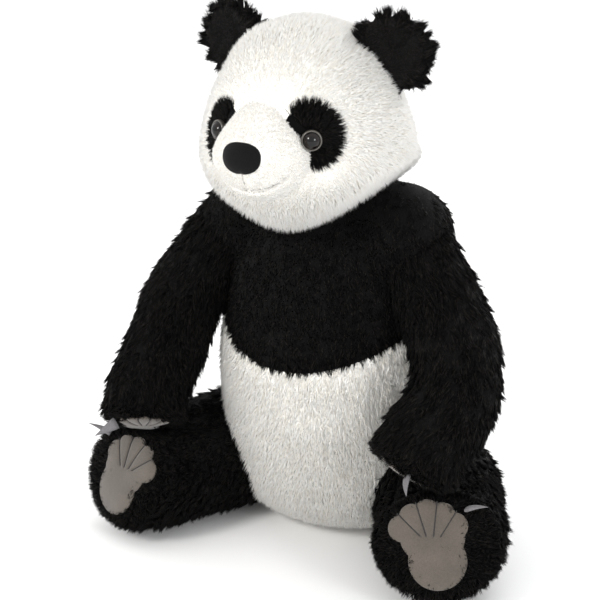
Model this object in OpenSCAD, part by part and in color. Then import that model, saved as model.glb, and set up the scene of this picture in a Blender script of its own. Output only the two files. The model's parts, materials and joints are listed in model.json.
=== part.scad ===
/* [Head] */
// Radius of the head, without its pile
head_r = 102; // [98:1:106]
// How far the head's centre lies in front of the seat's centre
head_forward = 108; // [100:1:114]
// Height of the head's centre above the seat
head_height = 444.5; // [440:0.5:450]
// Radius of the muzzle ball
muzzle_r = 46; // [42:1:50]
// How far the muzzle ball's centre lies in front of the head's
muzzle_forward = 93; // [88:1:98]
// Radius of an ear
ear_r = 38; // [30:1:44]
// Half the thickness of an ear at its middle
ear_half_thick = 13; // [9:1:16]
// Radius of a plastic eye
eye_r = 10; // [8:0.5:12]
// Height of an eye's dome above its back plate
eye_dome = 6.5; // [4:0.5:9]
// Half the width of the nose patch
nose_half_w = 20; // [16:1:24]
// Half the height of the nose patch
nose_half_h = 14; // [10:1:17]

/* [Body] */
// Thickness of the pile fabric and its backing
skin_t = 2; // [1:0.5:3]
// Gap that keeps separate pieces apart
gap = 0.4; // [0.3:0.1:0.8]
// Radius of the ball of firm fill in the neck
neck_r = 50; // [46:1:52]
// Radius of the tail
tail_r = 24; // [18:1:30]

/* [Limbs] */
// Distance of the left hand's centre from the middle plane
hand_left_x = 150; // [144:1:156]
// Distance of the right hand's centre from the middle plane
hand_right_x = 162; // [144:1:166]
// Clearance between a limb and the hollow it sits in on the body
socket_gap = 2.8; // [2.4:0.1:3.2]
// Thickness of a pad of short pile
pad_t = 2; // [1:0.5:3]
// Length of a felt claw
claw_l = 19; // [12:1:24]
// Width of a felt claw at its root
claw_w = 11; // [7:1:13]

/* [Hidden] */

black_pile = "#151515";
white_pile = "#f1efea";
fill_white = "#e8e8e4";
pad_colour = "#948779";
claw_colour = "#77767a";

head_c = [0, -head_forward, head_height];
muzzle_c = head_c + [0, -muzzle_forward, -5];
neck_c = [0, -84, 322];
eye_dir = [0.475, -0.877, 0.072];
ear_dir = [0.773, 0.069, 0.63];
ear_reach = 116;
washer_r = 9;
shank_r = 2.2;
torso_sides = 28;
limb_sides = 20;
muzzle_sides = 28;
stitch_r = 0.7;
toe_fan = 32;
toe_r = 13;
heel_r = 29;
sole_size = 0.97;
sole_inwards = 8;
palm_size = 0.66;

// Rings of the torso from the seat to the neck: height, centre's y, half width, half depth, tilt
torso_plan = [
    [0, 10, 66, 62, 0],
    [5, 8, 84, 80, 0],
    [18, 5, 102, 99, 1],
    [42, 0, 116, 113, 2],
    [80, -8, 125, 121, 4],
    [120, -16, 129, 123, 6],
    [160, -24, 127, 121, 8],
    [195, -31, 124, 117, 10],
    [222, -37, 120, 109, 12],
    [254, -46, 110, 98, 9],
    [286, -57, 92, 84, 6],
    [312, -67, 72, 68, 3],
    [328, -76, 56, 52, 0]
];
band_ring = 8;

// Centre line of the left arm, with its half width and half depth, shoulder to palm
function arm_plan(hand_x) = [
    [[98, -60, 320], 41, 41],
    [[125, -74, 287], 41, 41],
    [[149, -91, 252], 41, 41],
    [[(hand_x + 490) / 4, -110, 217], 40, 40],
    [[(hand_x + 510) / 4, -132, 187], 40, 39],
    [[hand_x + 3, -154, 165], 42, 39],
    [[hand_x - 2, -165, 150], 40, 36]
];
palm_edge = 14;

// Centre line of the left leg, with its half width and half height, hip to sole
leg_plan = [
    [[94, -22, 66], 62, 63],
    [[123, -68, 65], 64, 62],
    [[147, -112, 60], 64, 58],
    [[161, -147, 56], 62, 53],
    [[169, -171, 62], 61, 54],
    [[173, -182, 66], 60, 54]
];
sole_edge = 17;

function unit(v) = v / norm(v);
function mid(list) = [for (k = [0:2]) sum([for (p = list) p[k]]) / len(list)];
function sum(list, i = 0) = i < len(list) ? list[i] + sum(list, i + 1) : 0;
function reversed(list) = [for (i = [len(list) - 1:-1:0]) list[i]];

// One closed ring of points around c, a wide along u and b along v
function ring(c, u, v, a, b, n) =
    [for (i = [0:n - 1]) c + a * cos(360 * i / n) * u + b * sin(360 * i / n) * v];

// Direction of a plan's centre line at point i, and the two directions across it
function along(plan, i) =
    unit(plan[min(i + 1, len(plan) - 1)][0] - plan[max(i - 1, 0)][0]);
function across(t) = unit(cross([0, 0, 1], t));
function upward(t) = cross(t, across(t));

// Rings that round off an end: edge is the radius of the rounding, way is 1 at the far end
function end_rings(c, t, a, b, edge, way, n) =
    [for (k = way > 0 ? [22.5, 45, 67.5, 88] : [88, 67.5, 45, 22.5])
        ring(c + way * t * edge * sin(k), across(t), upward(t),
            a - edge * (1 - cos(k)), b - edge * (1 - cos(k)), n)];

// All rings of a limb's surface, moved inwards by inset
function limb_rings(plan, far_edge, inset, n) =
    let (last = len(plan) - 1)
    concat(
        end_rings(plan[0][0], along(plan, 0), plan[0][1] - inset, plan[0][2] - inset,
            min(plan[0][1], plan[0][2]) - inset, -1, n),
        [for (i = [0:last]) ring(plan[i][0], across(along(plan, i)), upward(along(plan, i)),
            plan[i][1] - inset, plan[i][2] - inset, n)],
        end_rings(plan[last][0], along(plan, last), plan[last][1] - inset, plan[last][2] - inset,
            far_edge - inset, 1, n));

// Closed solid through a list of rings, capped at both ends
module loft(rings) {
    n = len(rings[0]);
    m = len(rings);
    polyhedron(
        points = concat([for (r = rings) each r], [mid(rings[0]), mid(rings[m - 1])]),
        faces = concat(
            [for (j = [0:m - 2], i = [0:n - 1])
                each [[j * n + i, (j + 1) * n + (i + 1) % n, j * n + (i + 1) % n],
                    [j * n + i, (j + 1) * n + i, (j + 1) * n + (i + 1) % n]]],
            [for (i = [0:n - 1]) [m * n, i, (i + 1) % n]],
            [for (i = [0:n - 1]) [m * n + 1, (m - 1) * n + (i + 1) % n, (m - 1) * n + i]]));
}

// A stitched ball around c, built up in rings from its lowest point to its highest
module ball(c, r, sides) {
    loft([for (k = [0.5:sides / 2 - 0.5])
        ring(c - [0, 0, r * cos(360 * k / sides)], [1, 0, 0], [0, 1, 0],
            r * sin(360 * k / sides), r * sin(360 * k / sides), sides)]);
}

// One ring of the torso; the two end rings also move inwards along its height
function torso_ring(i, inset) =
    let (p = torso_plan[i], lift = i == 0 ? inset : i == len(torso_plan) - 1 ? -inset : 0)
    ring([0, p[1], p[0] + lift], [1, 0, 0], [0, cos(p[4]), sin(p[4])],
        p[2] - inset, p[3] - inset, torso_sides);

// Turns a piece modelled along +Z about the head's centre to look along dir
module from_head(dir) {
    translate(head_c)
        rotate([0, acos(unit(dir)[2]), atan2(dir[1], dir[0])])
            children();
}

module for_right_side() {
    mirror([1, 0, 0])
        children();
}

// Hollows in the body that the limbs sit in
module arm_rooms() {
    loft(limb_rings(arm_plan(hand_left_x), palm_edge, -socket_gap, limb_sides));
    for_right_side()
        loft(limb_rings(arm_plan(hand_right_x), palm_edge, -socket_gap, limb_sides));
}

module leg_rooms() {
    for (s = [0, 1])
        mirror([s, 0, 0])
            loft(limb_rings(leg_plan, sole_edge, -socket_gap, limb_sides));
}

module torso_stuffing() {
    color(fill_white)
        difference() {
            loft([for (i = [0:len(torso_plan) - 1]) torso_ring(i, skin_t + gap)]);
            leg_rooms();
            arm_rooms();
        }
}

module yoke_skin() {
    color(black_pile)
        difference() {
            loft(concat(
                [for (i = [len(torso_plan) - 1:-1:band_ring]) torso_ring(i, skin_t)],
                [for (i = [band_ring:len(torso_plan) - 1]) torso_ring(i, 0)]));
            arm_rooms();
        }
}

module belly_skin() {
    color(white_pile)
        difference() {
            loft(concat(
                [for (i = [0:band_ring]) torso_ring(i, 0)],
                [for (i = [band_ring:-1:0]) torso_ring(i, skin_t)]));
            leg_rooms();
        }
}

// Centre's y of the back's surface at height z
function back_y(z) = lookup(z, [for (p = torso_plan) [p[0] + p[3] * sin(p[4]), p[1] + p[3] * cos(p[4])]]);

// Short round tail, its root flat against the lower back
module tail() {
    color(black_pile)
        translate([0, back_y(70) + gap, 70])
            rotate([-90, 0, 0])
                rotate_extrude($fn = 48)
                    polygon(concat([[0, 0]],
                        [for (k = [0:10:90]) [tail_r * pow(cos(k), 0.7), 26 * sin(k)]]));
}

// Ladder stitches that close the back after filling
module closing_seam() {
    color("#202020")
        for (z = [118:8:182])
            translate([0, back_y(z) + stitch_r + gap, z])
                rotate([0, 90, 0])
                    cylinder(r = stitch_r, h = 9, center = true, $fn = 16);
}

module neck_stuffing() {
    color(fill_white)
        intersection() {
            translate(neck_c)
                sphere(r = neck_r, $fn = 64);
            translate([-neck_r, neck_c[1] - neck_r, torso_plan[len(torso_plan) - 1][0] + gap])
                cube([2 * neck_r, 2 * neck_r, 2 * neck_r]);
        }
}

// A round hole of radius r that looks out of the head along dir from depth below its surface
module eye_hole(dir, r, depth) {
    from_head(dir)
        translate([0, 0, head_r - depth])
            cylinder(r = r, h = 50, $fn = 40);
}

module both_eye_holes(r, depth) {
    for (s = [-1, 1])
        eye_hole([s * eye_dir[0], eye_dir[1], eye_dir[2]], r, depth);
}

// Round hollows that keep the muzzle clear of the eyes
module both_eye_clearances() {
    for (s = [-1, 1])
        ball(head_c + (head_r + 4) * unit([s * eye_dir[0], eye_dir[1], eye_dir[2]]), eye_r + 2, 20);
}

module head_stuffing() {
    color(fill_white)
        difference() {
            translate(head_c)
                sphere(r = head_r - skin_t - gap, $fn = 72);
            translate(neck_c)
                sphere(r = neck_r + 1, $fn = 64);
            both_eye_holes(washer_r + gap, 22);
        }
}

module muzzle_stuffing() {
    color(fill_white)
        difference() {
            ball(muzzle_c, muzzle_r - skin_t - gap, muzzle_sides);
            ball(head_c, head_r - skin_t + 2 * gap, muzzle_sides + 12);
            both_eye_clearances();
        }
}

module head_skin() {
    color(white_pile)
        difference() {
            translate(head_c)
                sphere(r = head_r, $fn = 72);
            translate(head_c)
                sphere(r = head_r - skin_t, $fn = 72);
            translate(neck_c)
                sphere(r = neck_r + 1, $fn = 64);
            translate(muzzle_c)
                sphere(r = muzzle_r + gap, $fn = 64);
            both_eye_holes(shank_r + gap, 22);
        }
}

module muzzle_skin() {
    color(white_pile)
        difference() {
            ball(muzzle_c, muzzle_r, muzzle_sides);
            ball(muzzle_c, muzzle_r - skin_t, muzzle_sides);
            ball(head_c, head_r - skin_t + 2 * gap, muzzle_sides + 12);
            both_eye_clearances();
        }
}

module nose() {
    color("#17181a")
        intersection() {
            difference() {
                translate(muzzle_c)
                    sphere(r = muzzle_r + gap + pad_t, $fn = 64);
                translate(muzzle_c)
                    sphere(r = muzzle_r + gap, $fn = 64);
            }
            translate(muzzle_c + [0, 0, 1])
                rotate([90, 0, 0])
                    linear_extrude(muzzle_r + 10)
                        polygon([for (k = [0:12:348])
                            [nose_half_w * cos(k), nose_half_h * sin(k)]]);
        }
}

// Thread laid on the muzzle: a line down from the nose and the curve of the mouth
module mouth_stitching() {
    mouth_drop = 33;
    thread_r = muzzle_r + gap + stitch_r;
    color("#b9b5ae")
        translate(muzzle_c) {
            rotate([0, 90, 0])
                rotate_extrude(start = asin(nose_half_h / thread_r) - 90,
                    angle = asin(mouth_drop / thread_r) - asin(nose_half_h / thread_r), $fn = 96)
                    translate([thread_r, 0])
                        circle(r = stitch_r, $fn = 16);
            translate([0, 0, -mouth_drop])
                rotate([0, 0, -140])
                    rotate_extrude(angle = 100, $fn = 96)
                        translate([sqrt(pow(thread_r, 2) - pow(mouth_drop, 2)), 0])
                            circle(r = stitch_r, $fn = 16);
        }
}

// Shaggy black patch around one eye, cut back where the muzzle meets it
module eye_patch_left() {
    patch_r = head_r + gap;
    color(black_pile)
        difference() {
            intersection() {
                difference() {
                    translate(head_c)
                        sphere(r = patch_r + pad_t, $fn = 72);
                    translate(head_c)
                        sphere(r = patch_r, $fn = 72);
                }
                from_head([0.535, -0.835, 0.12])
                    linear_extrude(head_r + 20)
                        rotate(28)
                            polygon([for (k = [0:12:348]) [31 * cos(k), 24 * sin(k)]]);
            }
            translate(muzzle_c)
                sphere(r = muzzle_r + 1, $fn = 64);
            eye_hole(eye_dir, shank_r + gap, 22);
        }
}

module eye_patch_right() {
    for_right_side()
        eye_patch_left();
}

// Plate behind the eye with the shank that goes through the skin
module eye_back_left() {
    plate_z = head_r + pad_t + 2 * gap;
    color("#3a3a3c")
        from_head(eye_dir) {
            translate([0, 0, plate_z])
                cylinder(r = eye_r, h = 2, $fn = 40);
            translate([0, 0, head_r - 20])
                cylinder(r = shank_r, h = plate_z + 1 - head_r + 20, $fn = 24);
        }
}

module eye_back_right() {
    for_right_side()
        eye_back_left();
}

// Domed clear front of the eye
module eye_lens_left() {
    lens_z = head_r + pad_t + 2 * gap + 2;
    dome_r = (pow(eye_r, 2) + pow(eye_dome, 2)) / (2 * eye_dome);
    color("#2b1a12")
        from_head(eye_dir)
            intersection() {
                translate([0, 0, lens_z + eye_dome - dome_r])
                    sphere(r = dome_r, $fn = 64);
                translate([0, 0, lens_z])
                    cylinder(r = eye_r + 5, h = eye_dome + 5, $fn = 48);
            }
}

module eye_lens_right() {
    for_right_side()
        eye_lens_left();
}

// Locking washer pressed onto the shank behind the skin
module eye_washer_left() {
    color("#d8d8d4")
        from_head(eye_dir)
            translate([0, 0, head_r - 18])
                difference() {
                    cylinder(r = washer_r, h = 2, $fn = 40);
                    translate([0, 0, -1])
                        cylinder(r = shank_r + 0.05, h = 4, $fn = 24);
                }
}

module eye_washer_right() {
    for_right_side()
        eye_washer_left();
}

// Round ear of two panels, its foot following the head
module ear_left() {
    color(black_pile)
        difference() {
            translate(head_c + ear_reach * unit(ear_dir))
                rotate([90, 0, 18])
                    rotate_extrude($fn = 60)
                        polygon(concat(
                            [for (k = [-90:10:90]) [max(0, ear_r * pow(cos(k), 0.6)), ear_half_thick * sin(k)]]));
            translate(head_c)
                sphere(r = head_r + gap, $fn = 72);
        }
}

module ear_right() {
    for_right_side()
        ear_left();
}

// A limb's fill and its skin; the skin is open at the root, where it is sewn to the body
module limb_fill(plan, edge) {
    loft(limb_rings(plan, edge, skin_t + gap, limb_sides));
}

module limb_skin(plan, edge) {
    outer = limb_rings(plan, edge, 0, limb_sides);
    inner = limb_rings(plan, edge, skin_t, limb_sides);
    open_from = 3;
    keep = [open_from:len(outer) - 1];
    loft(concat(reversed([for (i = keep) inner[i]]), [for (i = keep) outer[i]]));
}

// Places a flat piece on a limb's blunt end, x across it and y up it
module on_end(plan, edge, lift) {
    last = len(plan) - 1;
    t = along(plan, last);
    c = plan[last][0] + t * (edge + lift);
    x = across(t);
    y = upward(t);
    multmatrix([
        [x[0], y[0], t[0], c[0]],
        [x[1], y[1], t[1], c[1]],
        [x[2], y[2], t[2], c[2]],
        [0, 0, 0, 1]])
        children();
}

// Direction of toe k, from -2 on the inner side to 2 on the outer side
function toe_angle(k) = 96 - 28 * k;

// Paw pad outline for a sole: five toes in a fan above a heel that lies to the outer side
module pad_outline() {
    for (k = [-2:2])
        translate(toe_fan * [cos(toe_angle(k)), sin(toe_angle(k))])
            circle(r = toe_r, $fn = 32);
    translate([-5, 8])
        circle(r = 24, $fn = 40);
    translate([10, 8])
        circle(r = 25, $fn = 40);
    translate([9, -15])
        circle(r = heel_r, $fn = 40);
}

module paw_pad(plan, edge, size, inwards) {
    on_end(plan, edge, gap)
        translate([-inwards, 0, 0])
            linear_extrude(pad_t)
                scale(size)
                    pad_outline();
}

// Dark stitched lines between the toes
module toe_lines(plan, edge, size, inwards) {
    on_end(plan, edge, gap + pad_t + stitch_r + 0.1)
        for (k = [-1.5:1:1.5]) {
            tip = size * (toe_fan + toe_r - 2) * [cos(toe_angle(k)), sin(toe_angle(k))];
            root = size * [14 * cos(toe_angle(k)) + 3, 8];
            translate([root[0] - inwards, root[1], 0])
                rotate([-90, 0, atan2(tip[1] - root[1], tip[0] - root[0]) - 90])
                    cylinder(r = stitch_r, h = norm(tip - root), $fn = 16);
        }
}

// Row of felt claws just beyond the toes, each folded to a point
module claws(plan, edge) {
    reach = plan[len(plan) - 1][2] - 1;
    on_end(plan, edge, 0)
        for (k = [-2:2])
            translate([reach * cos(toe_angle(k)), reach * sin(toe_angle(k)), -2])
                rotate([0, 0, toe_angle(k) - 90])
                    rotate([-35, 0, 0])
                        claw();
}

// One claw, its root on the ground plane and its point up
module claw() {
    polyhedron(
        points = [
            [-claw_w / 2, 0, 0], [claw_w / 2, 0, 0], [0, 4, 0],
            [0, 1, claw_l]],
        faces = [[0, 1, 2], [0, 3, 1], [1, 3, 2], [2, 3, 0]]);
}

module arm_stuffing_left() {
    color(fill_white)
        limb_fill(arm_plan(hand_left_x), palm_edge);
}

module arm_skin_left() {
    color(black_pile)
        limb_skin(arm_plan(hand_left_x), palm_edge);
}

module palm_pad_left() {
    color(pad_colour)
        paw_pad(arm_plan(hand_left_x), palm_edge, palm_size, 0);
}

module palm_stitching_left() {
    color("#2a2622")
        toe_lines(arm_plan(hand_left_x), palm_edge, palm_size, 0);
}

module palm_claws_left() {
    color(claw_colour)
        claws(arm_plan(hand_left_x), palm_edge);
}

module arm_stuffing_right() {
    color(fill_white)
        for_right_side()
            limb_fill(arm_plan(hand_right_x), palm_edge);
}

module arm_skin_right() {
    color(black_pile)
        for_right_side()
            limb_skin(arm_plan(hand_right_x), palm_edge);
}

module palm_pad_right() {
    color(pad_colour)
        for_right_side()
            paw_pad(arm_plan(hand_right_x), palm_edge, palm_size, 0);
}

module palm_stitching_right() {
    color("#2a2622")
        for_right_side()
            toe_lines(arm_plan(hand_right_x), palm_edge, palm_size, 0);
}

module palm_claws_right() {
    color(claw_colour)
        for_right_side()
            claws(arm_plan(hand_right_x), palm_edge);
}

module leg_stuffing_left() {
    color(fill_white)
        limb_fill(leg_plan, sole_edge);
}

module leg_skin_left() {
    color(black_pile)
        limb_skin(leg_plan, sole_edge);
}

module sole_pad_left() {
    color(pad_colour)
        paw_pad(leg_plan, sole_edge, sole_size, sole_inwards);
}

module sole_stitching_left() {
    color("#2a2622")
        toe_lines(leg_plan, sole_edge, sole_size, sole_inwards);
}

module foot_claws_left() {
    color(claw_colour)
        claws(leg_plan, sole_edge);
}

module leg_stuffing_right() {
    for_right_side()
        leg_stuffing_left();
}

module leg_skin_right() {
    for_right_side()
        leg_skin_left();
}

module sole_pad_right() {
    for_right_side()
        sole_pad_left();
}

module sole_stitching_right() {
    for_right_side()
        sole_stitching_left();
}

module foot_claws_right() {
    for_right_side()
        foot_claws_left();
}

torso_stuffing();
yoke_skin();
belly_skin();
tail();
closing_seam();
neck_stuffing();
head_stuffing();
muzzle_stuffing();
head_skin();
muzzle_skin();
nose();
mouth_stitching();
eye_patch_left();
eye_patch_right();
eye_back_left();
eye_back_right();
eye_lens_left();
eye_lens_right();
eye_washer_left();
eye_washer_right();
ear_left();
ear_right();
arm_stuffing_left();
arm_skin_left();
palm_pad_left();
palm_stitching_left();
palm_claws_left();
arm_stuffing_right();
arm_skin_right();
palm_pad_right();
palm_stitching_right();
palm_claws_right();
leg_stuffing_left();
leg_skin_left();
sole_pad_left();
sole_stitching_left();
foot_claws_left();
leg_stuffing_right();
leg_skin_right();
sole_pad_right();
sole_stitching_right();
foot_claws_right();
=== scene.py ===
"""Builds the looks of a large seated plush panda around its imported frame."""
import json
import math

import bmesh
import bpy
import numpy as np
from bpy.props import FloatProperty, FloatVectorProperty, PointerProperty
from mathutils import Matrix, Vector
from mathutils.bvhtree import BVHTree


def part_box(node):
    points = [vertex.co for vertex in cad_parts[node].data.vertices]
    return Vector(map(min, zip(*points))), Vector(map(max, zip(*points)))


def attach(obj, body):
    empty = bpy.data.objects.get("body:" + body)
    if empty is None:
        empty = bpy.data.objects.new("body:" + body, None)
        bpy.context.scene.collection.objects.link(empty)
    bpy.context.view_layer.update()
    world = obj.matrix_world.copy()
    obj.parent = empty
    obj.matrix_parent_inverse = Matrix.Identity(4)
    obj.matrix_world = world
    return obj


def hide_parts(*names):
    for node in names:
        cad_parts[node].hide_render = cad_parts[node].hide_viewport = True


bl_info = {
    "name": "Plush Panda",
    "version": (1, 0, 0),
    "blender": (4, 5, 0),
    "location": "3D View > Sidebar > Panda",
    "description": "Sews a seated plush panda around its frame, piece by piece",
    "category": "Object",
}

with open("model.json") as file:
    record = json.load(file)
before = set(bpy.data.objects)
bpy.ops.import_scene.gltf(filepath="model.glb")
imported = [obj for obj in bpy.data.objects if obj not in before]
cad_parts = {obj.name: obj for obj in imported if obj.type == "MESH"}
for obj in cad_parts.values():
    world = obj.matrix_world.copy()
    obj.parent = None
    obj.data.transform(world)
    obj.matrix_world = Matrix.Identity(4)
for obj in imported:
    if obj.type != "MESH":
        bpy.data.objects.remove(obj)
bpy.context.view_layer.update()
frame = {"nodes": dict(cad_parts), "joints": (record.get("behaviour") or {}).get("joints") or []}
MM = 0.001
SIDES = {"left": 1, "right": -1}


# ---------------------------------------------------------------- places that come from the frame

def node_box(name):
    """Lowest and highest corner of a CAD node, as arrays in metres."""
    low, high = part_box(name)
    return np.array(low), np.array(high)


def ball_of(name, open_side):
    """Centre and radius of a ball-shaped skin that is cut away on its front or back."""
    low, high = node_box(name)
    radius = (high[0] - low[0]) / 2
    y = high[1] - radius if open_side == "front" else low[1] + radius
    return np.array([0.0, y, high[2] - radius]), radius


def joint_point(name):
    """Where a joint's axis passes, in metres."""
    return np.array(next(j["pos_m"] for j in frame["joints"] if j["name"] == name), float)


HEAD, HEAD_R = ball_of("head_skin", "front")
MUZZLE, MUZZLE_R = ball_of("muzzle_skin", "back")
EYE_LOW, EYE_HIGH = node_box("eye_lens_left")

# Body pattern, seat to neck: height, centre's y, half width, half depth, tilt of the ring in degrees
TORSO_RINGS = (
    (0.5, 10, 62, 58, 0), (4, 8, 84, 80, 0), (18, 5, 103, 100, 1), (42, 0, 117, 114, 2),
    (80, -8, 127, 122, 4), (120, -16, 131, 124, 6), (160, -24, 130, 123, 8), (195, -31, 127, 118, 10),
    (222, -37, 124, 111, 12), (254, -46, 116, 100, 10), (286, -57, 104, 88, 7), (312, -66, 92, 76, 4),
    (334, -74, 80, 66, 2), (352, -80, 62, 54, 0),
)
BAND_RING = 8
# The shoulders' rounds on the body: centre, half sizes and turn about the depth axis in degrees
SHOULDERS = (((81, -60, 338), (50, 60, 46), 30), ((0, -56, 360), (86, 62, 35), 0))
# How much higher the band's seam lies at the sides than in the middle, in mm per square mm
BAND_RISE = 0.0018
# How much higher it lies towards the left side, in mm per mm
BAND_SLOPE = 0.09

# Middle of the flat face that closes a half of the body at the band's seam, and how far it reaches, in metres
SEAM_Y, SEAM_REACH = -0.037, 0.096

# Limb patterns, written for the left side: centre, half width, half height, all in mm
LEG_RINGS = (
    ((94, -22, 66), 62, 63), ((123, -68, 65), 64, 62), ((147, -112, 60), 64, 58),
    ((161, -147, 56), 62, 53), ((169, -171, 62), 61, 54), ((173, -182, 66), 60, 54),
)
ARM_RINGS = {
    "left": (((91, -60, 322), 41, 42), ((115, -74, 288), 41, 43), ((146, -91, 252), 43, 43),
             ((166, -110, 217), 44, 42), ((169, -132, 187), 48, 41), ((150, -155, 161), 53, 41),
             ((143, -167, 142), 51, 38)),
    "right": (((104, -60, 326), 42, 42), ((123, -74, 291), 41, 42), ((148, -91, 252), 41, 42),
              ((157, -110, 217), 41, 41), ((162, -132, 187), 41, 40), ((163, -155, 161), 43, 40),
              ((158, -167, 140), 42, 37)),
}

# Rounding of a limb's blunt end, then the size of its pad and how far the pad lies inwards
SOLE_EDGE, SOLE_SIZE, SOLE_INWARDS = 17, 0.97, 8.0
PALM_EDGE, PALM_SIZE, PALM_INWARDS = 14, 0.66, 0.0
CLAW_LENGTH, CLAW_WIDTH = 25, 13

# An ear's middle from the head's, its radius and its half thickness
EAR_PLACE, EAR_RADIUS, EAR_THICK = (84.5, 8, 74.5), 35.5, 10.5
# Half the nose's width, and its half height above and below its middle
NOSE_WIDE, NOSE_ABOVE, NOSE_BELOW = 19.3, 14.2, 15.3


def leg_rings(side):
    """The leg's pattern; the left leg lies a little further out and forward than the right one."""
    out, back = (4, 0) if side == "left" else (-2, 8)
    return [((x + out, y + back, z), a, b) for (x, y, z), a, b in LEG_RINGS]


# ---------------------------------------------------------------- colours and nodes

def linear(hex_colour):
    """An sRGB hex colour as linear RGBA."""
    parts = [int(hex_colour[i:i + 2], 16) / 255 for i in (1, 3, 5)]
    return [c / 12.92 if c <= 0.04045 else ((c + 0.055) / 1.055) ** 2.4 for c in parts] + [1.0]


def colour_of(colour):
    """Linear RGBA of a hex colour, or of one of the toy's own colours by its name in the settings."""
    return linear(colour) if colour.startswith("#") else tuple(getattr(settings().colours, colour))


def socket(sockets, key):
    """A node's socket by place or by name, passing over the ones its settings switch off."""
    if isinstance(key, int):
        return sockets[key]
    return next(s for s in sockets if s.name == key and s.enabled)


def add_node(tree, kind, settings=None, values=None, links=None):
    """Adds one node to a tree, with its settings, its plain values and the sockets that feed it."""
    node = tree.nodes.new(kind)
    for key, value in (settings or {}).items():
        setattr(node, key, value)
    for key, value in (values or {}).items():
        socket(node.inputs, key).default_value = value
    for key, source in (links or {}).items():
        tree.links.new(source, socket(node.inputs, key))
    return node


def new_material(name):
    """A material with an empty node tree."""
    material = bpy.data.materials.new(name)
    material.use_nodes = True
    material.node_tree.nodes.clear()
    return material


def close_material(material, shader):
    """Links the shader to the material's output."""
    add_node(material.node_tree, "ShaderNodeOutputMaterial", links={"Surface": shader.outputs[0]})
    return material


def woven_backing(name, base, shade, grain_mm, bump_mm):
    """Knitted pile backing seen between the fibres: two close shades in soft patches, and a fine fibrous bump."""
    material = new_material(name)
    tree = material.node_tree
    place = add_node(tree, "ShaderNodeTexCoord")
    patches = add_node(tree, "ShaderNodeTexNoise", values={"Scale": 1 / (22 * MM), "Detail": 3.0},
                       links={"Vector": place.outputs["Object"]})
    fibres = add_node(tree, "ShaderNodeTexNoise",
                      values={"Scale": 1 / (grain_mm * MM), "Detail": 6.0, "Roughness": 0.7},
                      links={"Vector": place.outputs["Object"]})
    both = add_node(tree, "ShaderNodeMath", {"operation": "MULTIPLY_ADD"}, {1: 0.55},
                    {0: fibres.outputs["Fac"], 2: patches.outputs["Fac"]})
    ramp = add_node(tree, "ShaderNodeValToRGB", links={"Fac": both.outputs[0]})
    ramp.color_ramp.elements[0].position, ramp.color_ramp.elements[1].position = 0.55, 0.95
    ramp.color_ramp.elements[0].color = colour_of(shade)
    ramp.color_ramp.elements[1].color = colour_of(base)
    bump = add_node(tree, "ShaderNodeBump", values={"Strength": 0.9, "Distance": bump_mm * MM},
                    links={"Height": fibres.outputs["Fac"]})
    shader = add_node(tree, "ShaderNodeBsdfPrincipled",
                      values={"Roughness": 0.9, "Sheen Weight": 0.03, "Specular IOR Level": 0.08},
                      links={"Base Color": ramp.outputs["Color"], "Normal": bump.outputs["Normal"]})
    return close_material(material, shader)


def pile_fibre(name, colour, roughness, sheen):
    """Polyester pile fibre: one plain shade of several, since locks of mixed shades make the cloth's pattern; the
    lightest black shade is painted sheen.
    """
    material = new_material(name)
    shader = add_node(material.node_tree, "ShaderNodeBsdfPrincipled",
                      values={"Base Color": colour_of(colour), "Roughness": roughness, "Sheen Weight": sheen,
                              "Sheen Roughness": 0.45, "Specular IOR Level": 0.1})
    material.diffuse_color = colour_of(colour)
    return close_material(material, shader)


def sueded_nap(name, base, shade, speck):
    """Sueded polyester of the paw pads: short nap with a salt-and-pepper speck about 0.8 mm across."""
    material = new_material(name)
    tree = material.node_tree
    place = add_node(tree, "ShaderNodeTexCoord")
    nap = add_node(tree, "ShaderNodeTexNoise", values={"Scale": 1 / (1.6 * MM), "Detail": 5.0, "Roughness": 0.8},
                   links={"Vector": place.outputs["Object"]})
    brushed = add_node(tree, "ShaderNodeTexNoise", values={"Scale": 1 / (26 * MM), "Detail": 2.0},
                       links={"Vector": place.outputs["Object"]})
    ramp = add_node(tree, "ShaderNodeValToRGB", links={"Fac": nap.outputs["Fac"]})
    ramp.color_ramp.elements[0].position, ramp.color_ramp.elements[1].position = 0.3, 0.72
    ramp.color_ramp.elements[0].color = colour_of(shade)
    ramp.color_ramp.elements[1].color = colour_of(base)
    bright = ramp.color_ramp.elements.new(0.86)
    bright.color = colour_of(speck)
    tone = add_node(tree, "ShaderNodeMapRange",
                    values={"From Min": 0.3, "From Max": 0.7, "To Min": 0.82, "To Max": 1.08},
                    links={"Value": brushed.outputs["Fac"]})
    mixed = add_node(tree, "ShaderNodeMix", {"data_type": "RGBA", "blend_type": "MULTIPLY"}, {0: 1.0},
                     {"A": ramp.outputs["Color"], "B": tone.outputs[0]})
    bump = add_node(tree, "ShaderNodeBump", values={"Strength": 0.7, "Distance": 0.5 * MM},
                    links={"Height": nap.outputs["Fac"]})
    shader = add_node(tree, "ShaderNodeBsdfPrincipled",
                      values={"Roughness": 0.92, "Sheen Weight": 0.35, "Sheen Roughness": 0.6},
                      links={"Base Color": socket(mixed.outputs, "Result"), "Normal": bump.outputs["Normal"]})
    return close_material(material, shader)


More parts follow.
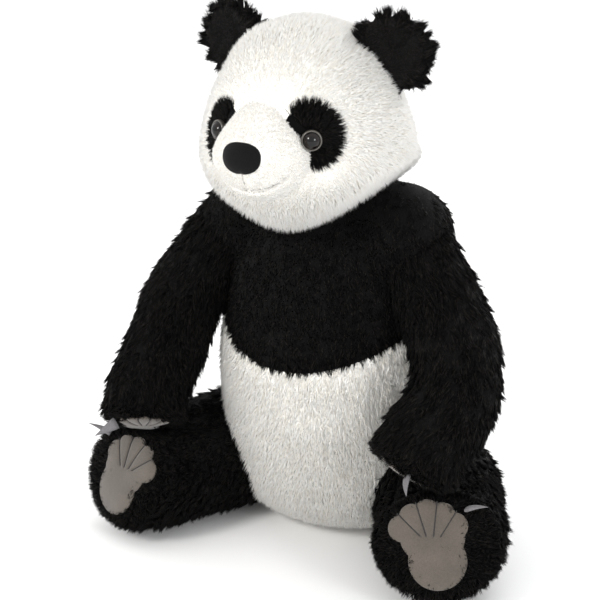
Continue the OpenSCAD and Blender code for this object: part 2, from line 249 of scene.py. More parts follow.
def pressed_felt(name, base, shade, fibre_mm):
    """Pressed felt: matted fibres that cross each other, a little lighter where they stand up, which is painted
    highlight on the raised fibres and painted shade in the low ones.
    """
    material = new_material(name)
    tree = material.node_tree
    place = add_node(tree, "ShaderNodeTexCoord")
    fibre = add_node(tree, "ShaderNodeTexNoise", {"noise_dimensions": "3D"},
                     {"Scale": 1 / (fibre_mm * MM), "Detail": 8.0, "Roughness": 0.75, "Distortion": 1.2},
                     {"Vector": place.outputs["Object"]})
    # Painted shade and highlight: the noise that lifts the fibres also makes them lighter where high and darker where
    # low
    ramp = add_node(tree, "ShaderNodeValToRGB", links={"Fac": fibre.outputs["Fac"]})
    ramp.color_ramp.elements[0].position, ramp.color_ramp.elements[1].position = 0.32, 0.7
    ramp.color_ramp.elements[0].color = colour_of(shade)
    ramp.color_ramp.elements[1].color = colour_of(base)
    bump = add_node(tree, "ShaderNodeBump", values={"Strength": 0.8, "Distance": 0.3 * MM},
                    links={"Height": fibre.outputs["Fac"]})
    shader = add_node(tree, "ShaderNodeBsdfPrincipled",
                      values={"Roughness": 0.85, "Sheen Weight": 0.06, "Specular IOR Level": 0.12},
                      links={"Base Color": ramp.outputs["Color"], "Normal": bump.outputs["Normal"]})
    return close_material(material, shader)


def spun_thread(name, base, shade):
    """Spun polyester thread: light and dark plies that repeat every 3.4 mm, drawn coarser than the real 1.5 mm."""
    material = new_material(name)
    tree = material.node_tree
    place = add_node(tree, "ShaderNodeTexCoord")
    twist = add_node(tree, "ShaderNodeTexWave", {"wave_type": "BANDS", "bands_direction": "DIAGONAL"},
                     {"Scale": 1 / (9.4 * MM), "Distortion": 2.0, "Detail": 1.0}, {"Vector": place.outputs["Object"]})
    ramp = add_node(tree, "ShaderNodeValToRGB", links={"Fac": twist.outputs["Fac"]})
    ramp.color_ramp.elements[0].color = colour_of(shade)
    ramp.color_ramp.elements[1].color = colour_of(base)
    bump = add_node(tree, "ShaderNodeBump", values={"Strength": 0.5, "Distance": 0.2 * MM},
                    links={"Height": twist.outputs["Fac"]})
    shader = add_node(tree, "ShaderNodeBsdfPrincipled", values={"Roughness": 0.7, "Sheen Weight": 0.2},
                      links={"Base Color": ramp.outputs["Color"], "Normal": bump.outputs["Normal"]})
    return close_material(material, shader)


def moulded_plastic(name, base, shade, roughness, coat):
    """Moulded plastic: a faint flow mottle about 6 mm across under a smooth skin."""
    material = new_material(name)
    tree = material.node_tree
    place = add_node(tree, "ShaderNodeTexCoord")
    flow = add_node(tree, "ShaderNodeTexNoise", values={"Scale": 1 / (6 * MM), "Detail": 2.0},
                    links={"Vector": place.outputs["Object"]})
    ramp = add_node(tree, "ShaderNodeValToRGB", links={"Fac": flow.outputs["Fac"]})
    ramp.color_ramp.elements[0].color = colour_of(shade)
    ramp.color_ramp.elements[1].color = colour_of(base)
    shader = add_node(tree, "ShaderNodeBsdfPrincipled",
                      values={"Roughness": roughness, "Coat Weight": coat, "Coat Roughness": 0.03},
                      links={"Base Color": ramp.outputs["Color"]})
    return close_material(material, shader)


def eye_acrylic(name, pupil, iris):
    """Back-painted acrylic eye: a black pupil in a dark brown iris, seen through a polished dome."""
    material = new_material(name)
    tree = material.node_tree
    place = add_node(tree, "ShaderNodeUVMap", {"uv_map": "eye"})
    gap = add_node(tree, "ShaderNodeVectorMath", {"operation": "LENGTH"}, links={0: place.outputs["UV"]})
    ramp = add_node(tree, "ShaderNodeValToRGB", links={"Fac": gap.outputs["Value"]})
    ramp.color_ramp.elements[0].position, ramp.color_ramp.elements[1].position = 0.5, 0.62
    ramp.color_ramp.elements[0].color = colour_of(pupil)
    ramp.color_ramp.elements[1].color = colour_of(iris)
    rim = ramp.color_ramp.elements.new(0.97)
    rim.color = colour_of(pupil)
    shader = add_node(tree, "ShaderNodeBsdfPrincipled",
                      values={"Roughness": 0.05, "IOR": 1.4},
                      links={"Base Color": ramp.outputs["Color"]})
    return close_material(material, shader)


def studio_paper(name, colour):
    """Matt background paper with the faintest unevenness."""
    material = new_material(name)
    tree = material.node_tree
    place = add_node(tree, "ShaderNodeTexCoord")
    pulp = add_node(tree, "ShaderNodeTexNoise", values={"Scale": 3.0, "Detail": 2.0},
                    links={"Vector": place.outputs["Object"]})
    ramp = add_node(tree, "ShaderNodeValToRGB", links={"Fac": pulp.outputs["Fac"]})
    ramp.color_ramp.elements[0].color = [c * 0.985 for c in linear(colour)[:3]] + [1.0]
    ramp.color_ramp.elements[1].color = linear(colour)
    shader = add_node(tree, "ShaderNodeBsdfPrincipled", values={"Roughness": 0.95},
                      links={"Base Color": ramp.outputs["Color"]})
    return close_material(material, shader)


MATERIALS = {}


def material(name):
    """A material of this toy by its name, made the first time it is asked for."""
    if name not in MATERIALS:
        make, args = RECIPES[name]
        MATERIALS[name] = make(name, *args)
    return MATERIALS[name]


RECIPES = {
    # Soft off-white ground between the locks: a knit of 1.6 mm with patches of 22 mm
    "white_backing": (woven_backing, ("#fbf9f4", "#efece5", 1.6, 0.7)),
    # The muzzle's clipped cloth: smooth and matt, with a fine grain of 1.1 mm
    "clipped_white_nap": (woven_backing, ("#f1efeb", "#e6e3dd", 1.1, 0.35)),
    # Near black ground that lets the black pile look deep: a knit of 1.6 mm
    "black_backing": (woven_backing, ("#080808", "#030303", 1.6, 0.7)),
    # Four whites mixed lock by lock give a warm, softly uneven coat. A lock is about 1 mm wide and stands
    # for many fibres of 0.03 mm, so all pile is drawn coarser than real
    "white_pile_root": (pile_fibre, ("#f4f0e8", 0.8, 0.2)),
    "white_pile_warm": (pile_fibre, ("white", 0.75, 0.3)),
    "white_pile_cool": (pile_fibre, ("#fafaf8", 0.75, 0.3)),
    "white_pile_bright": (pile_fibre, ("#fffefb", 0.7, 0.3)),
    # Three blacks and a dark brown give a deep coat; the dark brown locks are painted sheen, mixed lock by lock among
    # the blacks
    "black_pile_root": (pile_fibre, ("#020202", 0.7, 0.0)),
    "black_pile_deep": (pile_fibre, ("#030303", 0.6, 0.0)),
    "black_pile_soft": (pile_fibre, ("#0a0909", 0.5, 0.0)),
    # Painted sheen: these lighter dark-brown locks stand for the light the black pile catches
    "black_pile_light": (pile_fibre, ("black", 0.42, 0.0)),
    # Matt taupe paw pads, speckled every 1.6 mm and brushed in patches of 26 mm
    "taupe_suede": (sueded_nap, ("pads", "#433c35", "#695f55")),
    # Flat grey of the claws, matted in flecks of 1.4 mm, with painted highlight on the raised flecks and painted shade
    # in the low ones
    "grey_claw_felt": (pressed_felt, ("claws", "#5c5a5c", 1.4)),
    # Dull black of the nose, a little lighter where its 1.2 mm flecks stand up: painted highlight on the raised flecks
    "black_nose_felt": (pressed_felt, ("nose", "#040405", 1.2)),
    # Dark line between the toes and along the closing seam, its plies every 3.4 mm
    "black_thread": (spun_thread, ("#1c1a19", "#0c0b0b")),
    # Soft grey line of the mouth, its plies every 3.4 mm
    "pale_thread": (spun_thread, ("#a39e97", "#7d7973")),
    # Wet-looking eye: black middle, dark brown towards its edge
    "brown_acrylic": (eye_acrylic, ("#010101", "#150d09")),
    # Grey glossy rim round the eye, mottled over 6 mm
    "grey_eye_ring": (moulded_plastic, ("eye_ring", "#37342f", 0.3, 0.4)),
    # Milky plastic of the washers inside the head, mottled over 6 mm
    "natural_washer_plastic": (moulded_plastic, ("#d8d7d0", "#c9c8c0", 0.5, 0.0)),
    # Bright floor without a horizon, its tone drifting over 330 mm
    "pale_paper": (studio_paper, ("#fbfbfb",)),
}


# ---------------------------------------------------------------- mesh helpers

def unit(vector):
    """The vector at length 1."""
    vector = np.asarray(vector, float)
    return vector / np.linalg.norm(vector)


def unit_rows(vectors):
    """Each row at length 1."""
    return vectors / np.maximum(np.linalg.norm(vectors, axis=1), 1e-9)[:, None]


def link_mesh(name, bm, material_names):
    """A new object in the scene from a bmesh, smooth shaded, with its materials."""
    mesh = bpy.data.meshes.new(name)
    bm.to_mesh(mesh)
    bm.free()
    return link_data(name, mesh, material_names)


def link_data(name, mesh, material_names):
    """A new object in the scene from a mesh."""
    obj = bpy.data.objects.new(name, mesh)
    bpy.context.scene.collection.objects.link(obj)
    for m in material_names:
        mesh.materials.append(material(m))
    mesh.shade_smooth()
    return obj


def settle(obj):
    """Replaces an object's mesh by what its modifiers make of it."""
    depsgraph = bpy.context.evaluated_depsgraph_get()
    made = bpy.data.meshes.new_from_object(obj.evaluated_get(depsgraph))
    obj.modifiers.clear()
    old, obj.data = obj.data, made
    bpy.data.meshes.remove(old)
    made.shade_smooth()
    return obj


def refine(obj, levels):
    """Subdivides a piece smoothly and keeps the result."""
    rounder = obj.modifiers.new("Rounder", "SUBSURF")
    rounder.levels = rounder.render_levels = levels
    return settle(obj)


def points_of(mesh):
    """A mesh's vertices as an array."""
    flat = np.empty(len(mesh.vertices) * 3)
    mesh.vertices.foreach_get("co", flat)
    return flat.reshape(-1, 3)


def normals_of(mesh):
    """A mesh's vertex normals as an array."""
    flat = np.empty(len(mesh.vertices) * 3)
    mesh.vertex_normals.foreach_get("vector", flat)
    return flat.reshape(-1, 3)


def put_points(mesh, points):
    """Moves a mesh's vertices."""
    mesh.vertices.foreach_set("co", np.ascontiguousarray(points).ravel())
    mesh.update()


def put_attribute(mesh, name, values):
    """Stores one number or one vector per vertex for the pile to read."""
    values = np.asarray(values, float)
    kind, field = ("FLOAT_VECTOR", "vector") if values.ndim == 2 else ("FLOAT", "value")
    layer = mesh.attributes.get(name) or mesh.attributes.new(name, kind, "POINT")
    layer.data.foreach_set(field, np.ascontiguousarray(values).ravel())


def lumps(points, size_mm, seed, waves=9):
    """Soft uneven filling: a smooth number about -1 to 1 for each point, with hills about size_mm across."""
    rng = np.random.default_rng(seed)
    total = np.zeros(len(points))
    for _ in range(waves):
        direction = unit(rng.normal(size=3)) * math.tau / (size_mm * MM) * rng.uniform(0.4, 0.8)
        total += np.sin(points @ direction + rng.uniform(0, math.tau))
    return total / math.sqrt(waves)


def mirrored(point, side):
    """A left-side point or direction, on the side asked for."""
    return np.array([point[0] * SIDES[side], point[1], point[2]], float)


def along_rings(rings, i):
    """Direction of a limb's centre line at ring i."""
    return unit(np.subtract(rings[min(i + 1, len(rings) - 1)][0], rings[max(i - 1, 0)][0]))


def cross_frame(direction):
    """The two directions across a limb: level, and upward."""
    level = unit(np.cross((0, 0, 1), direction))
    return level, np.cross(direction, level)


def loft(bm, rings, segments):
    """Joins ovals into one closed skin. Each ring is centre, level direction, upward direction, half sizes."""
    loops = []
    for centre, level, upward, half_level, half_upward in rings:
        normal = np.cross(level, upward)
        place = Matrix.Identity(4)
        for row in range(3):
            place[row][0], place[row][1] = level[row] * half_level, upward[row] * half_upward
            place[row][2], place[row][3] = normal[row], centre[row]
        made = bmesh.ops.create_circle(bm, cap_ends=False, segments=segments, radius=1.0, matrix=place)
        loops.append(list({e for v in made["verts"] for e in v.link_edges}))
    for lower, upper in zip(loops, loops[1:]):
        bmesh.ops.bridge_loops(bm, edges=lower + upper)
    bmesh.ops.holes_fill(bm, edges=loops[0] + loops[-1], sides=0)
    bmesh.ops.recalc_face_normals(bm, faces=bm.faces)


def round_end(centre, direction, half_level, half_upward, edge, steps):
    """Ovals that round off a limb's end by a rounding of radius edge."""
    level, upward = cross_frame(direction if abs(direction[2]) < 0.99 else (1, 0, 0))
    rings = []
    for step in range(1, steps + 1):
        turn = math.radians(86 * step / steps)
        shrink = edge * (1 - math.cos(turn))
        rings.append((centre + direction * edge * math.sin(turn), level, upward,
                      half_level - shrink, half_upward - shrink))
    return rings


def limb_skin(name, rings, end_edge, side, material_names):
    """A limb's stuffed skin: a ball at its root, its ovals, and a blunt end."""
    last = len(rings) - 1
    first, start = np.array(rings[0][0], float), along_rings(rings, 0)
    _, root_a, root_b = rings[0]
    ovals = []
    level, upward = cross_frame(start)
    for step in range(5, 0, -1):
        turn = math.radians(86 * step / 5)
        ovals.append((first - start * root_a * math.sin(turn), level, upward,
                      root_a * math.cos(turn), root_b * math.cos(turn)))
    for i, (centre, a, b) in enumerate(rings):
        level, upward = cross_frame(along_rings(rings, i))
        ovals.append((np.array(centre, float), level, upward, a, b))
    centre, a, b = rings[last]
    ovals += round_end(np.array(centre, float), along_rings(rings, last), a, b, end_edge, 3)
    bm = bmesh.new()
    flip = np.array([SIDES[side], 1, 1])
    loft(bm, [(c * MM * flip, l * flip, u * flip, x * MM, y * MM) for c, l, u, x, y in ovals], 24)
    return refine(link_mesh(name, bm, material_names), 2)


def surface_of(obj):
    """A search tree over a piece's surface."""
    return BVHTree.FromPolygons([v.co for v in obj.data.vertices], [p.vertices for p in obj.data.polygons])


def dress(obj, body, nodes=()):
    """Hangs a piece on the empty of the body it moves with, and hides the CAD nodes it stands for."""
    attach(obj, body)
    if nodes:
        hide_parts(*nodes)
    return obj


def soft_step(values, low, high):
    """0 below low, 1 above high, smooth between."""
    x = np.clip((values - low) / (high - low), 0, 1)
    return x * x * (3 - 2 * x)


# ---------------------------------------------------------------- the pile

def strand(name, shade):
    """One lock of fibres, 1 unit long and 1 unit in half width: a three-sided spike."""
    bm = bmesh.new()
    bmesh.ops.create_cone(bm, cap_ends=True, segments=3, radius1=1.0, radius2=0.0, depth=1.0,
                          matrix=Matrix.Translation((0, 0, 0.5)))
    bmesh.ops.remove_doubles(bm, verts=bm.verts, dist=1e-5)
    mesh = bpy.data.meshes.new(name)
    bm.to_mesh(mesh)
    bm.free()
    mesh.materials.append(material(shade))
    mesh.shade_smooth()
    return bpy.data.objects.new(name, mesh)


STRAND_SHADES = {
    "white": ("white_pile_warm", "white_pile_cool", "white_pile_bright", "white_pile_root"),
    # The last black shade is painted sheen, a lighter dark-brown put on some locks
    "black": ("black_pile_root", "black_pile_deep", "black_pile_soft", "black_pile_light"),
}
STRANDS = {}


def strand_set(colour):
    """The collection of locks of one colour, made once."""
    if colour not in STRANDS:
        group = bpy.data.collections.new(colour + "_strands")
        for i, shade in enumerate(STRAND_SHADES[colour]):
            group.objects.link(strand(f"{colour}_strand_{i}", shade))
        STRANDS[colour] = group
    return STRANDS[colour]


def grow_pile(skin, name, colour, count, length_mm, width_mm, rise, shag, clump_mm, seed):
    """Sets about count locks of pile on a skin. Its 'comb' says where they lie, 'pile' how long, 'grow' how dense.

    rise is how far they stand against how far they lie, shag how differently the tufts lean, and clump_mm how
    wide one tuft is."""
    tree = bpy.data.node_groups.new(name, "GeometryNodeTree")
    tree.interface.new_socket("Geometry", in_out="INPUT", socket_type="NodeSocketGeometry")
    tree.interface.new_socket("Geometry", in_out="OUTPUT", socket_type="NodeSocketGeometry")

    comb_way = add_node(tree, "GeometryNodeInputNamedAttribute", {"data_type": "FLOAT_VECTOR"}, {"Name": "comb"})
    pile_long = add_node(tree, "GeometryNodeInputNamedAttribute", {"data_type": "FLOAT"}, {"Name": "pile"})
    growth_there = add_node(tree, "GeometryNodeInputNamedAttribute", {"data_type": "FLOAT"}, {"Name": "grow"})
    grown = grown_area(skin.data)
    skin_in = add_node(tree, "NodeGroupInput").outputs[0]
    density = add_node(tree, "ShaderNodeMath", {"operation": "MULTIPLY"},
                       {1: count * settings().pile.density / grown}, {0: socket(growth_there.outputs, "Attribute")})
    scatter = add_node(tree, "GeometryNodeDistributePointsOnFaces", {"distribute_method": "RANDOM"},
                       {"Seed": seed}, {"Mesh": skin_in, "Density": density.outputs[0]})
    position = add_node(tree, "GeometryNodeInputPosition").outputs[0]
    spot = add_node(tree, "ShaderNodeVectorMath", {"operation": "SCALE"}, {"Scale": 1 / (clump_mm * MM)},
                    {0: position}).outputs[0]
    tufts = add_node(tree, "ShaderNodeTexVoronoi", values={"Scale": 1.0}, links={"Vector": spot})
    inward = add_node(tree, "ShaderNodeVectorMath", {"operation": "SUBTRACT"},
                      links={0: tufts.outputs["Position"], 1: spot}).outputs[0]
    leaning = add_node(tree, "ShaderNodeVectorMath", {"operation": "SUBTRACT"}, {1: (0.5, 0.5, 0.5)},
                       {0: tufts.outputs["Color"]}).outputs[0]
    untidy = add_node(tree, "FunctionNodeRandomValue", {"data_type": "FLOAT_VECTOR"},
                      {"Min": (-0.16,) * 3, "Max": (0.16,) * 3, "Seed": seed + 1})
    shaggy = add_node(tree, "ShaderNodeVectorMath", {"operation": "MULTIPLY_ADD"}, {1: (2 * shag,) * 3},
                      {0: leaning, 2: socket(comb_way.outputs, "Attribute")})
    tufted = add_node(tree, "ShaderNodeVectorMath", {"operation": "MULTIPLY_ADD"},
                      {1: (0.8 * clump_mm / length_mm,) * 3}, {0: inward, 2: shaggy.outputs[0]})
    loose = add_node(tree, "ShaderNodeVectorMath", {"operation": "ADD"},
                     links={0: tufted.outputs[0], 1: socket(untidy.outputs, "Value")})
    growing = add_node(tree, "ShaderNodeVectorMath", {"operation": "MULTIPLY_ADD"}, {1: (rise,) * 3},
                       {0: scatter.outputs["Normal"], 2: loose.outputs[0]}).outputs[0]
    upright = add_node(tree, "FunctionNodeAlignRotationToVector", {"axis": "Z", "pivot_axis": "AUTO"},
                       links={"Vector": growing})
    length = add_node(tree, "FunctionNodeRandomValue", {"data_type": "FLOAT"},
                      {"Min": length_mm * MM * 0.7, "Max": length_mm * MM * 1.2, "Seed": seed + 3})
    long = add_node(tree, "ShaderNodeMath", {"operation": "MULTIPLY"},
                    links={0: socket(pile_long.outputs, "Attribute"), 1: socket(length.outputs, "Value")})
    size = add_node(tree, "ShaderNodeCombineXYZ", values={"X": width_mm * MM / 2, "Y": width_mm * MM / 2},
                    links={"Z": long.outputs[0]})
    locks = add_node(tree, "GeometryNodeCollectionInfo", {"transform_space": "ORIGINAL"},
                     {"Collection": strand_set(colour), "Separate Children": True, "Reset Children": True})
    placed = add_node(tree, "GeometryNodeInstanceOnPoints", values={"Pick Instance": True},
                      links={"Points": scatter.outputs["Points"], "Instance": locks.outputs[0],
                             "Rotation": upright.outputs[0], "Scale": size.outputs[0]})
    real = add_node(tree, "GeometryNodeRealizeInstances", links={"Geometry": placed.outputs[0]})
    add_node(tree, "NodeGroupOutput", links={0: real.outputs[0]})

    carrier = bpy.data.objects.new(name, skin.data)
    bpy.context.scene.collection.objects.link(carrier)
    growth = carrier.modifiers.new("Growth", "NODES")
    growth.node_group = tree
    depsgraph = bpy.context.evaluated_depsgraph_get()
    made = bpy.data.meshes.new_from_object(carrier.evaluated_get(depsgraph))
    carrier.modifiers.clear()
    carrier.data = made
    bpy.data.node_groups.remove(tree)
    for layer in ("comb", "pile", "grow"):
        if layer in made.attributes:
            made.attributes.remove(made.attributes[layer])
    points = points_of(made)
    floor_gap = 0.6 * MM
    low = points[:, 2] < floor_gap
    points[low, 2] = np.maximum(floor_gap + (points[low, 2] - floor_gap) * 0.04, 0.1 * MM)
    put_points(made, points)
    made.shade_smooth()
    return carrier


def grown_area(mesh):
    """A mesh's area weighted by how densely pile grows there, in square metres."""
    grow = np.empty(len(mesh.vertices))
    mesh.attributes["grow"].data.foreach_get("value", grow)
    area = np.array([face.area for face in mesh.polygons])
    share = np.array([grow[list(face.vertices)].mean() for face in mesh.polygons])
    return max((area * share).sum(), 1e-6)


def comb_skin(obj, comb, pile=None, grow=None):
    """Stores on a skin the direction its pile lies in, its length and where it grows."""
    mesh = obj.data
    count = len(mesh.vertices)
    put_attribute(mesh, "comb", comb)
    put_attribute(mesh, "pile", np.ones(count) if pile is None else pile)
    put_attribute(mesh, "grow", np.ones(count) if grow is None else grow)


# ---------------------------------------------------------------- pads, patches and threads

def star_outline(circles, centre):
    """Radius of a union of circles as seen from a centre inside it, as a function of the angle."""
    def radius(angle):
        direction = np.array([math.cos(angle), math.sin(angle)])
        reach = 0.0
        for x, y, r in circles:
            gap = np.array([x, y]) - centre
            along = gap @ direction
            inside = r * r - (gap @ gap - along * along)
            if inside > 0:
                reach = max(reach, along + math.sqrt(inside))
        return reach
    return radius


def sewn_pad(name, origin, right, up, outline, centre, surface, thick_mm, crown_mm, material_names, grooves=()):
    """A thin pad sewn onto a surface: an outline filled with rings, laid on the surface and crowned.

    right and up span its plane, outline gives its edge in mm around centre, grooves are stitched lines."""
    around, steps = 144, (1.0, 0.985, 0.95, 0.9, 0.84, 0.77, 0.69, 0.6, 0.5, 0.4, 0.3, 0.2, 0.1)
    out = np.cross(right, up)
    bm = bmesh.new()
    loops, ring_verts = [], []
    for step in steps:
        made = bmesh.ops.create_circle(bm, cap_ends=False, segments=around, radius=1.0)
        for v in made["verts"]:
            angle = math.atan2(v.co.y, v.co.x)
            flat = centre + outline(angle) * step * np.array([math.cos(angle), math.sin(angle)])
            v.co = (flat[0], flat[1], 1 - step ** 4)
        ring_verts.append(made["verts"])
        loops.append(list({e for v in made["verts"] for e in v.link_edges}))
    for outer, inner in zip(loops, loops[1:]):
        bmesh.ops.bridge_loops(bm, edges=outer + inner)
    bmesh.ops.holes_fill(bm, edges=loops[-1], sides=0)
    for v in bm.verts:
        flat = np.array([v.co.x, v.co.y])
        rise = thick_mm + crown_mm * v.co.z
        for a, b, depth, width in grooves:
            t = np.clip((flat - a) @ (b - a) / ((b - a) @ (b - a)), 0, 1)
            gap = np.linalg.norm(flat - a - t * (b - a))
            rise -= depth * math.exp(-(gap / width) ** 2)
        start = origin + (flat[0] * right + flat[1] * up) * MM + out * 0.05
        hit = surface.ray_cast(Vector(start), Vector(-out), 0.12)[0]
        ground = np.array(hit) if hit is not None else start - out * 0.05
        v.co = Vector(ground + out * rise * MM)
    rim = [e for e in loops[0] if e.is_valid]
    skirt = bmesh.ops.extrude_edge_only(bm, edges=rim)["geom"]
    bmesh.ops.translate(bm, verts=[g for g in skirt if isinstance(g, bmesh.types.BMVert)],
                        vec=Vector(-out * (thick_mm + 1.5) * MM))
    bottom = [g for g in skirt if isinstance(g, bmesh.types.BMEdge) and g.is_boundary]
    bmesh.ops.holes_fill(bm, edges=bottom, sides=0)
    bmesh.ops.recalc_face_normals(bm, faces=bm.faces)
    return link_mesh(name, bm, material_names)


def laid_thread(name, strokes, radius_mm, material_name, surface=None, lift_mm=0.0, out=None):
    """Threads along smooth strokes, each a list of points, pressed onto a surface where one is given."""
    data = bpy.data.curves.new(name, "CURVE")
    data.dimensions = "3D"
    data.bevel_depth = radius_mm * MM
    data.bevel_resolution = 2
    data.use_fill_caps = True
    for stroke in strokes:
        spline = data.splines.new("POLY")
        spline.points.add(len(stroke) - 1)
        for point, place in zip(spline.points, stroke):
            if surface is not None:
                hit = surface.ray_cast(Vector(np.array(place) + out * 0.04), Vector(-out), 0.1)[0]
                if hit is not None:
                    place = np.array(hit) + out * lift_mm * MM
            point.co = (*place, 1.0)
    curve = bpy.data.objects.new(name + "_line", data)
    bpy.context.scene.collection.objects.link(curve)
    depsgraph = bpy.context.evaluated_depsgraph_get()
    mesh = bpy.data.meshes.new_from_object(curve.evaluated_get(depsgraph))
    mesh.name = name
    bpy.data.objects.remove(curve)
    mesh.materials.clear()
    return link_data(name, mesh, [material_name])


def smooth_line(points, count):
    """A smooth line through a few points, as count points."""
    points = np.array(points, float)
    knots = np.linspace(0, len(points) - 1, count)
    padded = np.vstack([2 * points[0] - points[1], points, 2 * points[-1] - points[-2]])
    line = []
    for knot in knots:
        i = min(int(knot), len(points) - 2)
        t = knot - i
        a, b, c, d = padded[i:i + 4]
        line.append(0.5 * (2 * b + (c - a) * t + (2 * a - 5 * b + 4 * c - d) * t ** 2
                           + (3 * b - a - 3 * c + d) * t ** 3))
    return line


# ---------------------------------------------------------------- sizes and colours that a user would change

class PandaPile(bpy.types.PropertyGroup):
    """Lengths and thickness of the pile."""
    head: FloatProperty(name="Head pile", description="Length of the head's pile in mm", default=8.0, min=4, max=14)
    body: FloatProperty(name="Body pile", description="Length of the belly's pile in mm", default=9.0, min=4, max=14)
    limbs: FloatProperty(name="Limb pile", description="Length of the arms' and legs' pile in mm", default=9.5,
                         min=4, max=14)
    ears: FloatProperty(name="Ear pile", description="Length of the ears' pile in mm", default=12.0, min=4, max=18)
    width: FloatProperty(name="Tuft width", description="Width of one tuft of fibres in mm", default=1.05,
                         min=0.5, max=2.0)
    density: FloatProperty(name="Density", description="Share of the full number of tufts", default=1.0,
                           min=0.1, max=1.0, subtype="FACTOR")


class PandaEyes(bpy.types.PropertyGroup):
    """The plastic eyes."""
    dome: FloatProperty(name="Dome", description="Height of the eye's dome in mm", default=5.5, min=3, max=8)
    ring: FloatProperty(name="Ring", description="Width of the pale ring round the dome in mm", default=1.5,
                        min=0.5, max=3)


class PandaColours(bpy.types.PropertyGroup):
    """The toy's main colours; the shades mixed with them stay near."""
    white: FloatVectorProperty(name="White pile", description="Colour of the warm white locks", subtype="COLOR",
                               size=4, min=0, max=1, default=linear("#fdfaf3"))
    # The lighter black locks' colour is painted sheen, standing for the light the black pile catches
    black: FloatVectorProperty(name="Black pile", description="Colour of the lighter black locks", subtype="COLOR",
                               size=4, min=0, max=1, default=linear("#1d1a18"))
    pads: FloatVectorProperty(name="Paw pads", description="Colour of the pads' sueded cloth", subtype="COLOR",
                              size=4, min=0, max=1, default=linear("#5a5148"))
    claws: FloatVectorProperty(name="Claws", description="Colour of the claws' felt", subtype="COLOR",
                               size=4, min=0, max=1, default=linear("#7e7c7e"))
    nose: FloatVectorProperty(name="Nose", description="Colour of the nose's felt", subtype="COLOR",
                              size=4, min=0, max=1, default=linear("#0d0d0e"))
    eye_ring: FloatVectorProperty(name="Eye ring", description="Colour of the ring round an eye", subtype="COLOR",
                                  size=4, min=0, max=1, default=linear("#57534d"))


class PandaStage(bpy.types.PropertyGroup):
    """The camera and the light."""
    azimuth: FloatProperty(name="Azimuth", description="The camera's turn from straight ahead, in degrees",
                           default=27.0)
    elevation: FloatProperty(name="Elevation", description="The camera's height above level, in degrees",
                             default=18.0)
    distance: FloatProperty(name="Distance", description="From the camera to the toy's middle", default=2.0,
                            unit="LENGTH")
    light: FloatProperty(name="Light", description="Strength of the key light in watts", default=41.0)


class PandaSettings(bpy.types.PropertyGroup):
    """All of the toy's settings."""
    pile: PointerProperty(type=PandaPile)
    eyes: PointerProperty(type=PandaEyes)
    colours: PointerProperty(type=PandaColours)
    stage: PointerProperty(type=PandaStage)


def settings():
    """The scene's settings for this toy."""
    return bpy.context.scene.plush_panda


# ---------------------------------------------------------------- stage

# What the camera looks at, and a lens that shows 660 mm of width at the toy's 2 m
AIM = (-0.084, 0.038, 0.210)
SENSOR_MM = 36
LENS_MM = SENSOR_MM * 2000 / 660
# What the softboxes point at
LIT_POINT = (0, -0.05, 0.28)
# Strength of the even light from all round
AIR_LIGHT = 1.12


class PANDA_OT_stage(bpy.types.Operator):
    """Sets the camera, the pale floor and the soft studio light"""
    bl_idname = "panda.stage"
    bl_label = "Stage"

    def execute(self, context):
        stage = settings().stage
        turn, rise = math.radians(stage.azimuth), math.radians(stage.elevation)
        back = Vector((math.sin(turn) * math.cos(rise), -math.cos(turn) * math.cos(rise), math.sin(rise)))
        camera = bpy.data.cameras.new("studio_camera")
        camera.sensor_width = SENSOR_MM
        camera.lens = LENS_MM
        camera.clip_end = 20
        holder = bpy.data.objects.new("studio_camera", camera)
        holder.location = Vector(AIM) + back * stage.distance
        holder.rotation_euler = back.to_track_quat("Z", "Y").to_euler()
        context.scene.collection.objects.link(holder)
        context.scene.camera = holder

        bm = bmesh.new()
        bmesh.ops.create_grid(bm, x_segments=8, y_segments=8, size=6)
        floor = link_mesh("studio_floor", bm, ["pale_paper"])

        for name, place, size, power, warmth in (
                ("key_softbox", (-0.7, -2.6, 1.9), 0.7, stage.light, (1.0, 0.985, 0.96)),
                ("fill_softbox", (2.3, -1.2, 1.1), 0.8, stage.light * 0.55, (0.97, 0.98, 1.0)),
                ("back_softbox", (0.3, 2.2, 2.1), 1.6, stage.light * 0.5, (1.0, 1.0, 1.0))):
            lamp = bpy.data.lights.new(name, "AREA")
            lamp.size, lamp.energy, lamp.color = size, power, warmth
            rig = bpy.data.objects.new(name, lamp)
            rig.location = place
            rig.rotation_euler = (Vector(place) - Vector(LIT_POINT)).to_track_quat("Z", "Y").to_euler()
            context.scene.collection.objects.link(rig)
        context.scene.view_settings.view_transform = "Standard"
        world = bpy.data.worlds.new("studio_air")
        world.use_nodes = True
        air = world.node_tree.nodes["Background"]
        air.inputs["Color"].default_value = (1, 1, 1, 1)
        air.inputs["Strength"].default_value = AIR_LIGHT
        context.scene.world = world
        return {"FINISHED"}


# ---------------------------------------------------------------- body

def blended(obj, voxel_mm, smooth_steps):
    """Merges a piece's closed parts into one skin and smooths where they meet."""
    merge = obj.modifiers.new("Merge", "REMESH")
    merge.mode = "VOXEL"
    merge.voxel_size = voxel_mm * MM
    settle(obj)
    bm = bmesh.new()
    bm.from_mesh(obj.data)
    for _ in range(smooth_steps):
        bmesh.ops.smooth_vert(bm, verts=bm.verts, factor=0.5, use_axis_x=True, use_axis_y=True, use_axis_z=True)
    bm.to_mesh(obj.data)
    bm.free()
    return obj


